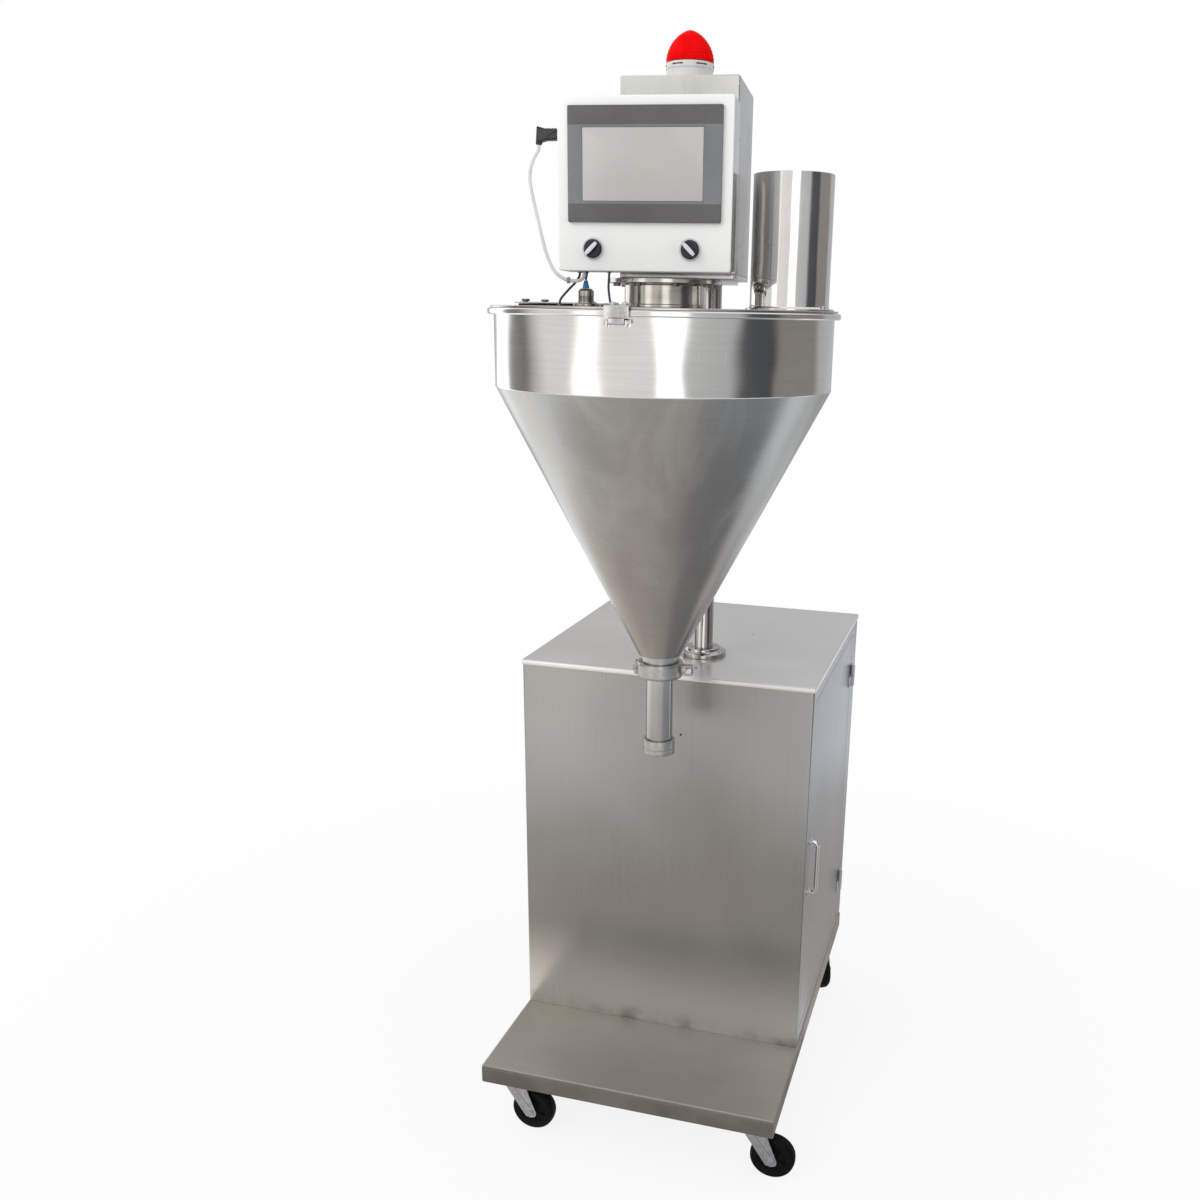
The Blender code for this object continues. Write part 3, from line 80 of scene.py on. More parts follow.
light = {
    "room": 0.80,          # level of the even room light
    "key": 30.0, "keySize": 2.2, "keyPlace": (-1.5, -2.4, 2.9),
    "floor": 0.90, "floorNear": 0.86, "floorFar": 1.0, "fadeFrom": 0.5, "fadeTo": 2.0,
    "cardRadius": 3.6, "cardTop": 3.4,
    # cards round the room, by degrees from the camera's side towards its right
    "cards": [(-180, 0.46), (-152, 0.50), (-144, 1.70), (-121, 1.70), (-116, 0.30), (-98, 0.16), (-88, 0.50),
              (-74, 0.86),
              (-56, 0.84), (-50, 1.80), (-41, 1.80), (-36, 0.92), (-8, 0.86), (-4, 1.90), (12, 1.90), (16, 0.62),
              (42, 0.54), (48, 0.11), (70, 0.09), (75, 0.27), (114, 0.27), (122, 0.50), (160, 0.56), (179, 0.50)],
    "cardTint": [(-180, (1.0, 1.0, 1.0)), (-40, (1.0, 0.985, 0.96)), (0, (1.0, 0.99, 0.97)),
                 (48, (0.96, 0.98, 1.0)), (60, (0.85, 0.93, 1.10)), (76, (1.06, 0.99, 0.92)),
                 (116, (1.04, 0.99, 0.93)), (140, (0.94, 0.98, 1.06)), (179, (0.98, 0.99, 1.02))],
    # cards laid on the floor: by the same degrees, then by metres from the middle
    "floorCards": [(-180, 1.00), (-140, 1.15), (-108, (1.25, 1.20, 1.14)), (-90, 1.15), (-64, 0.96), (-30, 0.94),
                   (-12, 0.86), (14, 0.80),
                   (34, (0.50, 0.54, 0.60)), (92, (0.42, 0.46, 0.51)), (102, (1.05, 1.10, 1.18)),
                   (112, (1.10, 1.13, 1.18)),
                   (124, 0.70), (165, 0.70), (179, 1.00)],
    "floorReach": [(0.0, (0.72, 0.67, 0.63)), (1.00, (0.70, 0.64, 0.585)), (1.50, (0.82, 0.80, 0.78)),
                   (1.90, (1.16, 1.20, 1.22)), (3.6, (1.16, 1.20, 1.22))],
}


def addNode(tree, kind, x=0, y=0, **values):
    node = tree.nodes.new(kind)
    node.location = (x, y)
    for key, value in values.items():
        setattr(node, key, value)
    return node


def mathNode(tree, operation, first, second=None, x=0, y=0):
    node = addNode(tree, "ShaderNodeMath", x, y, operation=operation)
    for index, value in enumerate((first, second)):
        if value is None:
            continue
        if isinstance(value, (int, float)):
            node.inputs[index].default_value = value
        else:
            tree.links.new(value, node.inputs[index])
    return node.outputs[0]


def colourRamp(tree, value, stops, low, high, x, y):
    # stops are (place, level or colour) between low and high
    scale = addNode(tree, "ShaderNodeMapRange", x, y)
    scale.inputs["From Min"].default_value = low
    scale.inputs["From Max"].default_value = high
    tree.links.new(value, scale.inputs["Value"])
    ramp = addNode(tree, "ShaderNodeValToRGB", x + 200, y)
    marks = ramp.color_ramp.elements
    while len(marks) > 1:
        marks.remove(marks[-1])
    for index, (place, level) in enumerate(stops):
        share = (place - low) / (high - low)
        mark = marks[0] if index == 0 else marks.new(share)
        mark.position = share
        colour = level if isinstance(level, tuple) else (level,) * 3
        mark.color = (*colour, 1)
    tree.links.new(scale.outputs["Result"], ramp.inputs["Fac"])
    return ramp.outputs["Color"]


def seenRays(tree, x, y):
    # 1 for rays from the camera, off shiny surfaces and through clear ones
    path = addNode(tree, "ShaderNodeLightPath", x, y).outputs
    first = mathNode(tree, "MAXIMUM", path["Is Camera Ray"], path["Is Glossy Ray"], x + 180, y)
    return mathNode(tree, "MAXIMUM", first, path["Is Transmission Ray"], x + 360, y)


def linkForm(name, form, materials):
    mesh = bpy.data.meshes.new(name)
    form.to_mesh(mesh)
    form.free()
    for material in materials:
        mesh.materials.append(material)
    item = bpy.data.objects.new(name, mesh)
    scene.collection.objects.link(item)
    return item


def addRoom():
    world = bpy.data.worlds.new("room")
    scene.world = world
    world.use_nodes = True
    tree = world.node_tree
    back = tree.nodes["Background"]
    back.inputs["Color"].default_value = (1, 1, 1, 1)
    level = addNode(tree, "ShaderNodeMapRange", -200, 0)
    level.inputs["To Min"].default_value = light["room"]
    level.inputs["To Max"].default_value = 1.0
    tree.links.new(seenRays(tree, -800, 0), level.inputs["Value"])
    tree.links.new(level.outputs["Result"], back.inputs["Strength"])

    lamp = bpy.data.lights.new("key", "AREA")
    lamp.energy = light["key"]
    lamp.size = light["keySize"]
    key = bpy.data.objects.new("key", lamp)
    key.location = light["keyPlace"]
    key.rotation_euler = (Vector((0, 0, 0.8)) - Vector(light["keyPlace"])).to_track_quat("-Z", "Y").to_euler()
    key.visible_glossy = False
    scene.collection.objects.link(key)

    # floor: white where it is seen, with the machine's shadow left in it
    form = bmesh.new()
    bmesh.ops.create_circle(form, cap_ends=True, segments=96, radius=14)
    paint = bpy.data.materials.new("floorPaint")
    linkForm("floor", form, [paint])
    paint.use_nodes = True
    tree = paint.node_tree
    shader = tree.nodes["Principled BSDF"]
    shader.inputs["Base Color"].default_value = (light["floor"],) * 3 + (1,)
    shader.inputs["Roughness"].default_value = 0.9
    shader.inputs["Specular IOR Level"].default_value = 0.0
    glow = addNode(tree, "ShaderNodeEmission", 0, -300)
    glow.inputs["Strength"].default_value = 1.0
    place = addNode(tree, "ShaderNodeTexCoord", -1400, 600)
    away = addNode(tree, "ShaderNodeVectorMath", -1200, 600, operation="LENGTH")
    tree.links.new(place.outputs["Object"], away.inputs[0])
    fade = addNode(tree, "ShaderNodeMapRange", -1000, 600)
    fade.interpolation_type = "SMOOTHSTEP"
    for socket, key in (("From Min", "fadeFrom"), ("From Max", "fadeTo"), ("To Min", "floorNear"),
                        ("To Max", "floorFar")):
        fade.inputs[socket].default_value = light[key]
    tree.links.new(away.outputs["Value"], fade.inputs["Value"])
    share = mathNode(tree, "MULTIPLY", seenRays(tree, -900, 300), fade.outputs["Result"], -200, 200)
    mix = addNode(tree, "ShaderNodeMixShader", 300, 0)
    tree.links.new(share, mix.inputs[0])
    tree.links.new(shader.outputs[0], mix.inputs[1])
    tree.links.new(glow.outputs[0], mix.inputs[2])
    tree.links.new(mix.outputs[0], tree.nodes["Material Output"].inputs["Surface"])


def cardObject(name, form, finish):
    cards = linkForm(name, form, [finish])
    cards.visible_camera = False
    cards.visible_diffuse = False
    cards.visible_shadow = False
    cards.visible_transmission = False


def cardFinish(name, rounds, over, byRadius):
    paint = bpy.data.materials.new(name)
    paint.use_nodes = True
    tree = paint.node_tree
    tree.nodes.remove(tree.nodes["Principled BSDF"])
    place = addNode(tree, "ShaderNodeTexCoord", -1400, 0)
    turn = addNode(tree, "ShaderNodeMapping", -1200, 0)
    # x' runs to the camera's right, y' runs from the machine to the camera
    turn.inputs["Rotation"].default_value[2] = math.radians(-camera["yaw"])
    parts = addNode(tree, "ShaderNodeSeparateXYZ", -1000, 0)
    links = tree.links.new
    links(place.outputs["Object"], turn.inputs["Vector"])
    links(turn.outputs["Vector"], parts.inputs[0])
    ahead = mathNode(tree, "MULTIPLY", parts.outputs["Y"], -1, -840, -100)
    angle = mathNode(tree, "ARCTAN2", parts.outputs["X"], ahead, -680, 0)
    degrees = mathNode(tree, "MULTIPLY", angle, 180 / math.pi, -520, 0)
    levels = colourRamp(tree, degrees, rounds, -180, 180, -340, 150)
    if byRadius:
        away = addNode(tree, "ShaderNodeVectorMath", -840, -300, operation="LENGTH")
        links(place.outputs["Object"], away.inputs[0])
        tints = colourRamp(tree, away.outputs["Value"], over, 0, light["cardRadius"], -340, -150)
    else:
        tints = colourRamp(tree, degrees, over, -180, 180, -340, -150)
    tint = addNode(tree, "ShaderNodeMix", 200, 0, data_type="RGBA", blend_type="MULTIPLY")
    tint.inputs["Factor"].default_value = 1
    links(levels, tint.inputs["A"])
    links(tints, tint.inputs["B"])
    glow = addNode(tree, "ShaderNodeEmission", 400, 0)
    links(tint.outputs["Result"], glow.inputs["Color"])
    links(glow.outputs[0], tree.nodes["Material Output"].inputs["Surface"])
    return paint


def addCards():
    # Studio cards and flags round the machine and on the floor. Only shiny surfaces see them.
    radius, steps = light["cardRadius"], 96
    form = bmesh.new()
    rings = []
    for z in (0.02, light["cardTop"]):
        rings.append([form.verts.new((radius * math.sin(2 * math.pi * i / steps),
                                      radius * math.cos(2 * math.pi * i / steps), z)) for i in range(steps)])
    for i in range(steps):
        form.faces.new((rings[0][i], rings[0][(i + 1) % steps], rings[1][(i + 1) % steps], rings[1][i]))
    cardObject("studioCards", form, cardFinish("cardPaint", light["cards"], light["cardTint"], False))
    form = bmesh.new()
    bmesh.ops.create_circle(form, cap_ends=True, segments=steps, radius=radius,
                            matrix=Matrix.Translation((0, 0, 0.003)))
    cardObject("floorCards", form, cardFinish("floorCardPaint", light["floorCards"], light["floorReach"], True))


scene.view_settings.view_transform = "Standard"
addCamera()
addRoom()
addCards()
print("camera, room and floor set")

# node groups that the finishes share

def nodeGroup(name, inputs, outputs):
    # inputs and outputs are (name, kind, default) and (name, kind)
    group = bpy.data.node_groups.new(name, "ShaderNodeTree")
    kinds = {"value": "NodeSocketFloat", "vector": "NodeSocketVector", "colour": "NodeSocketColor"}
    for label, kind, default in inputs:
        socket = group.interface.new_socket(name=label, in_out="INPUT", socket_type=kinds[kind])
        socket.default_value = default
    for label, kind in outputs:
        group.interface.new_socket(name=label, in_out="OUTPUT", socket_type=kinds[kind])
    start = addNode(group, "NodeGroupInput", -1400, 0)
    end = addNode(group, "NodeGroupOutput", 900, 0)
    return group, start, end


def spread(tree, value, low, high, x=0, y=0, toLow=0.0, toHigh=1.0, smooth=True):
    node = addNode(tree, "ShaderNodeMapRange", x, y)
    if smooth:
        node.interpolation_type = "SMOOTHSTEP"
    node.inputs["From Min"].default_value = low
    node.inputs["From Max"].default_value = high
    node.inputs["To Min"].default_value = toLow
    node.inputs["To Max"].default_value = toHigh
    tree.links.new(value, node.inputs["Value"])
    return node.outputs["Result"]


def makeGrainGroup():
    # Brushing: long fine streaks, broken up by slow changes along the sheet.
    group, start, end = nodeGroup("brushedGrain", [("Vector", "vector", (0, 0, 0)),
                                                   ("Stretch", "vector", (500, 500, 6)),
                                                   ("Blotch", "value", 9.0)],
                                  [("Streak", "value"), ("Cloud", "value")])
    links = group.links.new
    stretch = addNode(group, "ShaderNodeVectorMath", -1100, 100, operation="MULTIPLY")
    links(start.outputs["Vector"], stretch.inputs[0])
    links(start.outputs["Stretch"], stretch.inputs[1])
    fine = addNode(group, "ShaderNodeTexNoise", -850, 200)
    fine.inputs["Scale"].default_value = 1.0
    fine.inputs["Detail"].default_value = 4.0
    fine.inputs["Roughness"].default_value = 0.62
    links(stretch.outputs[0], fine.inputs["Vector"])
    broad = addNode(group, "ShaderNodeVectorMath", -850, -100, operation="SCALE")
    broad.inputs["Scale"].default_value = 0.17
    links(stretch.outputs[0], broad.inputs[0])
    wide = addNode(group, "ShaderNodeTexNoise", -650, -100)
    wide.inputs["Scale"].default_value = 1.0
    wide.inputs["Detail"].default_value = 2.0
    links(broad.outputs[0], wide.inputs["Vector"])
    cloud = addNode(group, "ShaderNodeTexNoise", -650, -350)
    cloud.inputs["Detail"].default_value = 3.0
    links(start.outputs["Vector"], cloud.inputs["Vector"])
    links(start.outputs["Blotch"], cloud.inputs["Scale"])
    both = mathNode(group, "ADD", mathNode(group, "MULTIPLY", fine.outputs["Fac"], 0.62, -400, 200),
                    mathNode(group, "MULTIPLY", wide.outputs["Fac"], 0.38, -400, 0), -200, 100)
    links(spread(group, both, 0.34, 0.66, 100, 100), end.inputs["Streak"])
    links(spread(group, cloud.outputs["Fac"], 0.30, 0.70, 100, -300), end.inputs["Cloud"])
    return group


def makeRubGroup():
    # Hand rubs and wipe marks: curved soft strokes, and a few fine scratches.
    group, start, end = nodeGroup("rubMarks", [("Vector", "vector", (0, 0, 0)), ("Size", "value", 7.0),
                                               ("Slant", "vector", (0.5, 0.3, 0.8))],
                                  [("Smear", "value"), ("Scratch", "value")])
    links = group.links.new
    turn = addNode(group, "ShaderNodeMapping", -1150, 0)
    turn.inputs["Scale"].default_value = (1.0, 1.0, 0.30)
    links(start.outputs["Vector"], turn.inputs["Vector"])
    links(start.outputs["Slant"], turn.inputs["Rotation"])
    smear = addNode(group, "ShaderNodeTexNoise", -800, 100)
    smear.inputs["Detail"].default_value = 5.0
    smear.inputs["Roughness"].default_value = 0.55
    smear.inputs["Distortion"].default_value = 1.6
    links(turn.outputs["Vector"], smear.inputs["Vector"])
    links(start.outputs["Size"], smear.inputs["Scale"])
    thin = addNode(group, "ShaderNodeVectorMath", -900, -250, operation="MULTIPLY")
    thin.inputs[1].default_value = (260.0, 260.0, 18.0)
    links(turn.outputs["Vector"], thin.inputs[0])
    lines = addNode(group, "ShaderNodeTexNoise", -700, -250)
    lines.inputs["Scale"].default_value = 1.0
    lines.inputs["Detail"].default_value = 1.0
    links(thin.outputs[0], lines.inputs["Vector"])
    links(spread(group, smear.outputs["Fac"], 0.50, 0.72, 0, 100), end.inputs["Smear"])
    links(spread(group, lines.outputs["Fac"], 0.70, 0.80, 0, -250), end.inputs["Scratch"])
    return group


def makeStainGroup():
    # Darker patches towards a low edge, between two heights along Z: partly dirt, partly painted shade.
    group, start, end = nodeGroup("lowStain", [("Vector", "vector", (0, 0, 0)), ("Foot", "value", 0.0),
                                               ("Reach", "value", 0.05), ("Patch", "value", 14.0)],
                                  [("Stain", "value")])
    links = group.links.new
    parts = addNode(group, "ShaderNodeSeparateXYZ", -1100, 0)
    links(start.outputs["Vector"], parts.inputs[0])
    rise = mathNode(group, "SUBTRACT", parts.outputs["Z"], start.outputs["Foot"], -900, 0)
    share = mathNode(group, "DIVIDE", rise, start.outputs["Reach"], -700, 0)
    near = spread(group, share, 0.0, 1.0, -500, 0, 1.0, 0.0)
    patch = addNode(group, "ShaderNodeTexNoise", -700, -300)
    patch.inputs["Detail"].default_value = 4.0
    links(start.outputs["Vector"], patch.inputs["Vector"])
    links(start.outputs["Patch"], patch.inputs["Scale"])
    marks = spread(group, patch.outputs["Fac"], 0.42, 0.68, -450, -300)
    links(mathNode(group, "MULTIPLY", near, marks, -100, 0), end.inputs["Stain"])
    return group


def makeSpeckGroup():
    # Moulded or sprayed skin: a fine pebble and slow cloudiness.
    group, start, end = nodeGroup("skinTexture", [("Vector", "vector", (0, 0, 0)), ("Grain", "value", 900.0),
                                                  ("Cloud Size", "value", 12.0)],
                                  [("Pebble", "value"), ("Cloud", "value")])
    links = group.links.new
    pebble = addNode(group, "ShaderNodeTexNoise", -800, 100)
    pebble.inputs["Detail"].default_value = 2.0
    links(start.outputs["Vector"], pebble.inputs["Vector"])
    links(start.outputs["Grain"], pebble.inputs["Scale"])
    cloud = addNode(group, "ShaderNodeTexNoise", -800, -200)
    cloud.inputs["Detail"].default_value = 3.0
    links(start.outputs["Vector"], cloud.inputs["Vector"])
    links(start.outputs["Cloud Size"], cloud.inputs["Scale"])
    links(spread(group, pebble.outputs["Fac"], 0.30, 0.70, 0, 100), end.inputs["Pebble"])
    links(spread(group, cloud.outputs["Fac"], 0.30, 0.70, 0, -200), end.inputs["Cloud"])
    return group


grainGroup = makeGrainGroup()
rubGroup = makeRubGroup()
stainGroup = makeStainGroup()
speckGroup = makeSpeckGroup()


def useGroup(tree, group, vector, x, y, **values):
    node = addNode(tree, "ShaderNodeGroup", x, y)
    node.node_tree = group
    tree.links.new(vector, node.inputs["Vector"])
    for label, value in values.items():
        node.inputs[label.replace("_", " ")].default_value = value
    return node


def blendColours(tree, factor, first, second, x=0, y=0):
    node = addNode(tree, "ShaderNodeMix", x, y, data_type="RGBA")
    tree.links.new(factor, node.inputs["Factor"])
    for socket, value in (("A", first), ("B", second)):
        if isinstance(value, tuple):
            node.inputs[socket].default_value = (*value, 1)
        else:
            tree.links.new(value, node.inputs[socket])
    return node.outputs["Result"]


def newMaterial(name):
    material = bpy.data.materials.new(name)
    material.use_nodes = True
    tree = material.node_tree
    shader = tree.nodes["Principled BSDF"]
    shader.location = (1300, 0)
    tree.nodes["Material Output"].location = (1600, 0)
    place = addNode(tree, "ShaderNodeTexCoord", -1400, 0)
    return material, tree, shader, place.outputs["Object"]


steel = {"dark": (0.30, 0.29, 0.275), "light": (0.42, 0.41, 0.395), "roughness": 0.30, "roughSpread": 0.10,
         "stretch": (600.0, 600.0, 5.0), "blotch": 7.0, "rub": 0.35, "rubSize": 6.0, "slant": (0.5, 0.3, 0.8),
         "bump": 0.10, "anisotropic": 0.0, "stainFoot": 0.0, "stainReach": 0.0, "stain": (0.10, 0.095, 0.085),
         "stainPatch": 14.0, "tangentAxis": "Z", "streaks": 0.6, "wave": 0.0, "waveSize": 9.0, "metal": 1.0,
         "worn": None, "wornLow": 0.0, "wornHigh": 0.0}


def steelMaterial(name, **changes):
    look = {**steel, **changes}
    material, tree, shader, place = newMaterial(name)
    links = tree.links.new
    shader.inputs["Metallic"].default_value = look["metal"]
    grain = useGroup(tree, grainGroup, place, -1000, 200, Stretch=look["stretch"], Blotch=look["blotch"])
    rub = useGroup(tree, rubGroup, place, -1000, -200, Size=look["rubSize"], Slant=look["slant"])
    mottled = mathNode(tree, "ADD", mathNode(tree, "MULTIPLY", grain.outputs["Streak"], look["streaks"], -700, 300),
                       mathNode(tree, "MULTIPLY", grain.outputs["Cloud"], 1 - look["streaks"], -700, 150), -500, 250)
    colour = blendColours(tree, mottled, look["dark"], look["light"], -250, 250)
    smeared = mathNode(tree, "MULTIPLY", rub.outputs["Smear"], look["rub"] * 0.55, -500, -100)
    brighter = tuple(min(1.0, value * 1.35) for value in look["light"])
    colour = blendColours(tree, smeared, colour, brighter, 0, 200)
    scratched = mathNode(tree, "MULTIPLY", rub.outputs["Scratch"], look["rub"] * 0.5, -500, -250)
    colour = blendColours(tree, scratched, colour, brighter, 200, 200)
    rough = mathNode(tree, "ADD", look["roughness"],
                     mathNode(tree, "MULTIPLY", mathNode(tree, "SUBTRACT", mottled, 0.5, -300, -50),
                              look["roughSpread"], -100, -50), 100, -50)
    rough = mathNode(tree, "ADD", rough, mathNode(tree, "MULTIPLY", rub.outputs["Smear"], look["rub"] * 0.22, 0, -200),
                     300, -50)
    if look["worn"]:
        # painted light: lighter towards the foot
        height = addNode(tree, "ShaderNodeSeparateXYZ", -700, 500)
        links(place, height.inputs[0])
        colour = blendColours(tree, spread(tree, height.outputs["Z"], look["wornLow"], look["wornHigh"], -500, 500,
                                           1.0, 0.0),
                              colour, look["worn"], 350, 350)
    # darker patches towards the foot: partly dirt, partly painted shade
    if look["stainReach"]:
        stain = useGroup(tree, stainGroup, place, -1000, -500, Foot=look["stainFoot"], Reach=look["stainReach"],
                         Patch=look["stainPatch"])
        colour = blendColours(tree, mathNode(tree, "MULTIPLY", stain.outputs["Stain"], 0.75, -500, -500), colour,
                              look["stain"], 450, 200)
        rough = mathNode(tree, "ADD", rough, mathNode(tree, "MULTIPLY", stain.outputs["Stain"], 0.22, 200, -450),
                         500, -50)
    bump = addNode(tree, "ShaderNodeBump", 900, -300)
    bump.inputs["Strength"].default_value = look["bump"]
    bump.inputs["Distance"].default_value = 0.0004
    links(grain.outputs["Streak"], bump.inputs["Height"])
    if look["wave"]:
        # the sheet isn't quite even, so what it mirrors wavers
        swell = addNode(tree, "ShaderNodeTexNoise", 500, -600)
        swell.inputs["Scale"].default_value = look["waveSize"]
        swell.inputs["Detail"].default_value = 1.0
        links(place, swell.inputs["Vector"])
        slow = addNode(tree, "ShaderNodeBump", 700, -600)
        slow.inputs["Distance"].default_value = look["wave"]
        links(swell.outputs["Fac"], slow.inputs["Height"])
        links(slow.outputs["Normal"], bump.inputs["Normal"])
    links(bump.outputs["Normal"], shader.inputs["Normal"])
    links(colour, shader.inputs["Base Color"])
    links(rough, shader.inputs["Roughness"])
    if look["anisotropic"]:
        shader.inputs["Anisotropic"].default_value = look["anisotropic"]
        tangent = addNode(tree, "ShaderNodeTangent", 900, -500, direction_type="RADIAL", axis=look["tangentAxis"])
        links(tangent.outputs[0], shader.inputs["Tangent"])
    return material


mould = {"dark": (0.02, 0.02, 0.022), "light": (0.035, 0.035, 0.038), "roughness": 0.42, "roughSpread": 0.12,
         "grain": 900.0, "cloud": 14.0, "bump": 0.10, "dust": 0.0, "dustColour": (0.30, 0.29, 0.27), "coat": 0.0,
         "shine": 0.5}


def mouldedMaterial(name, **changes):
    # plastic, rubber and paint
    look = {**mould, **changes}
    material, tree, shader, place = newMaterial(name)
    links = tree.links.new
    skin = useGroup(tree, speckGroup, place, -1000, 100, Grain=look["grain"], Cloud_Size=look["cloud"])
    both = mathNode(tree, "ADD", mathNode(tree, "MULTIPLY", skin.outputs["Pebble"], 0.35, -700, 200),
                    mathNode(tree, "MULTIPLY", skin.outputs["Cloud"], 0.65, -700, 0), -500, 100)
    colour = blendColours(tree, both, look["dark"], look["light"], -200, 200)
    if look["dust"]:
        rub = useGroup(tree, rubGroup, place, -1000, -300, Size=look["cloud"] * 1.5)
        colour = blendColours(tree, mathNode(tree, "MULTIPLY", rub.outputs["Smear"], look["dust"], -500, -300), colour,
                              look["dustColour"], 100, 200)
    rough = mathNode(tree, "ADD", look["roughness"] - look["roughSpread"] / 2,
                     mathNode(tree, "MULTIPLY", both, look["roughSpread"], 0, -50), 200, -50)
    bump = addNode(tree, "ShaderNodeBump", 900, -300)
    bump.inputs["Strength"].default_value = look["bump"]
    bump.inputs["Distance"].default_value = 0.0003
    links(skin.outputs["Pebble"], bump.inputs["Height"])
    links(bump.outputs["Normal"], shader.inputs["Normal"])
    links(colour, shader.inputs["Base Color"])
    links(rough, shader.inputs["Roughness"])
    shader.inputs["Specular IOR Level"].default_value = look["shine"]
    if look["coat"]:
        shader.inputs["Coat Weight"].default_value = look["coat"]
        shader.inputs["Coat Roughness"].default_value = 0.08
    return material

# frames that the pieces are built in, and the makers of their shapes

augerPlace = joints["auger_spin"]["pos_m"]
knobAxis = joints["selector_turn_left"]["axis"]
topLow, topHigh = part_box("cabinet_top")
headYaw = math.atan2(knobAxis[0], -knobAxis[1])
if abs(headYaw) > math.pi / 2:
    headYaw -= math.copysign(math.pi, headYaw)
machineFrame = Matrix.Translation(((topLow[0] + topHigh[0]) / 2, topLow[1], 0))
hopperFrame = Matrix.Translation((augerPlace[0], augerPlace[1], 0))
headFrame = hopperFrame @ Matrix.Rotation(headYaw, 4, "Z")


standUp = Matrix.Rotation(math.pi / 2, 4, "X")          # a flat outline turned to face the front
facing = {"Z": Matrix.Identity(4), "-Z": Matrix.Rotation(math.pi, 4, "X"), "X": Matrix.Rotation(math.pi / 2, 4, "Y"),
          "-X": Matrix.Rotation(-math.pi / 2, 4, "Y"), "Y": Matrix.Rotation(-math.pi / 2, 4, "X"), "-Y": standUp}


def localBox(node, place=Matrix.Identity(4)):
    # a node's lowest and highest corners in a turned frame
    back = place.inverted()
    corners = [back @ vertex.co for vertex in nodes[node].data.vertices]
    return (Vector([min(c[i] for c in corners) for i in range(3)]),
            Vector([max(c[i] for c in corners) for i in range(3)]))


def around(centre, radius, degrees, z):
    # a point on a circle round a centre
    turn = math.radians(degrees)
    return (centre.x + radius * math.cos(turn), centre.y + radius * math.sin(turn), z)


def joinForm(form, other, place=None):
    mesh = bpy.data.meshes.new("joined")
    other.to_mesh(mesh)
    other.free()
    if place is not None:
        mesh.transform(place)
    form.from_mesh(mesh)
    bpy.data.meshes.remove(mesh)


def roundedLine(points, segments=4):
    # each point is (radius, height) or (radius, height, fillet)
    line = []
    count = len(points)
    for index, point in enumerate(points):
        here = Vector(point[:2])
        fillet = point[2] if len(point) > 2 else 0
        if not fillet:
            line.append(here)
            continue
        before = Vector(points[index - 1][:2]) - here
        after = Vector(points[(index + 1) % count][:2]) - here
        half = before.angle(after) / 2
        if half > math.pi / 2 - 0.01:
            line.append(here)
            continue
        reach = min(fillet / math.tan(half), before.length * 0.49, after.length * 0.49)
        size = reach * math.tan(half)
        start, stop = here + before.normalized() * reach, here + after.normalized() * reach
        centre = here + (before.normalized() + after.normalized()).normalized() * (size / math.sin(half))
        first, last = start - centre, stop - centre
        sweep = first.angle(last)
        way = 1 if first.x * last.y - first.y * last.x > 0 else -1
        for step in range(segments + 1):
            turn = way * sweep * step / segments
            line.append(centre + Vector((first.x * math.cos(turn) - first.y * math.sin(turn),
                                         first.x * math.sin(turn) + first.y * math.cos(turn))))
    return line


def lathe(form, profile, steps=72, at=(0, 0, 0), axis="Z", fillets=4):
    # a closed profile turned about an axis
    line = roundedLine(profile, fillets)
    turn = facing[axis].to_3x3()
    other = bmesh.new()
    rings = []
    for radius, height in line:
        if radius < 1e-6:
            rings.append([other.verts.new(turn @ Vector((0, 0, height)))] * steps)
        else:
            rings.append([other.verts.new(turn @ Vector((radius * math.cos(2 * math.pi * i / steps),
                                                         radius * math.sin(2 * math.pi * i / steps), height)))
                          for i in range(steps)])
    for low, high in zip(rings, rings[1:] + rings[:1]):
        for i in range(steps):
            corners = []
            for corner in (low[i], low[(i + 1) % steps], high[(i + 1) % steps], high[i]):
                if corner not in corners:
                    corners.append(corner)
            if len(corners) > 2 and not (low[0] is low[1] and high[0] is high[1]):
                other.faces.new(corners)
    bmesh.ops.recalc_face_normals(other, faces=other.faces)
    joinForm(form, other, Matrix.Translation(at))


def cubeForm(low, high):
    form = bmesh.new()
    bmesh.ops.create_cube(form, size=1.0)
    bmesh.ops.scale(form, vec=[b - a for a, b in zip(low, high)], verts=form.verts)
    bmesh.ops.translate(form, vec=[(a + b) / 2 for a, b in zip(low, high)], verts=form.verts)
    return form


def bevelEdges(form, edges, offset, segments=2):
    bmesh.ops.bevel(form, geom=edges, offset=offset, segments=segments, profile=0.5, affect="EDGES")


def roundedBlock(form, low, high, radius=0.001, segments=2, place=None):
    other = cubeForm(low, high)
    radius = min(radius, min(b - a for a, b in zip(low, high)) * 0.45)
    bevelEdges(other, other.edges[:], radius, segments)
    joinForm(form, other, place)


def hexHead(form, radius, height, at, axis="Z", turn=0.0, dome=0.0):
    # a hexagon with chamfered corners, and a dome on it for a cap nut
    other = bmesh.new()
    bmesh.ops.create_cone(other, cap_ends=True, segments=6, depth=height, radius1=radius, radius2=radius)
    bmesh.ops.translate(other, vec=(0, 0, height / 2), verts=other.verts)
    bmesh.ops.rotate(other, cent=(0, 0, 0), matrix=Matrix.Rotation(turn, 3, "Z"), verts=other.verts)
    bevelEdges(other, other.edges[:], radius * 0.08)
    if dome:
        lathe(other, [(0, height * 0.8), (radius * 0.80, height * 0.8), (radius * 0.80, height + dome * 0.45,
                                                                         dome * 0.5),
                      (radius * 0.45, height + dome * 0.92, dome * 0.5), (0, height + dome)], 24)
    joinForm(form, other, Matrix.Translation(at) @ facing[axis])


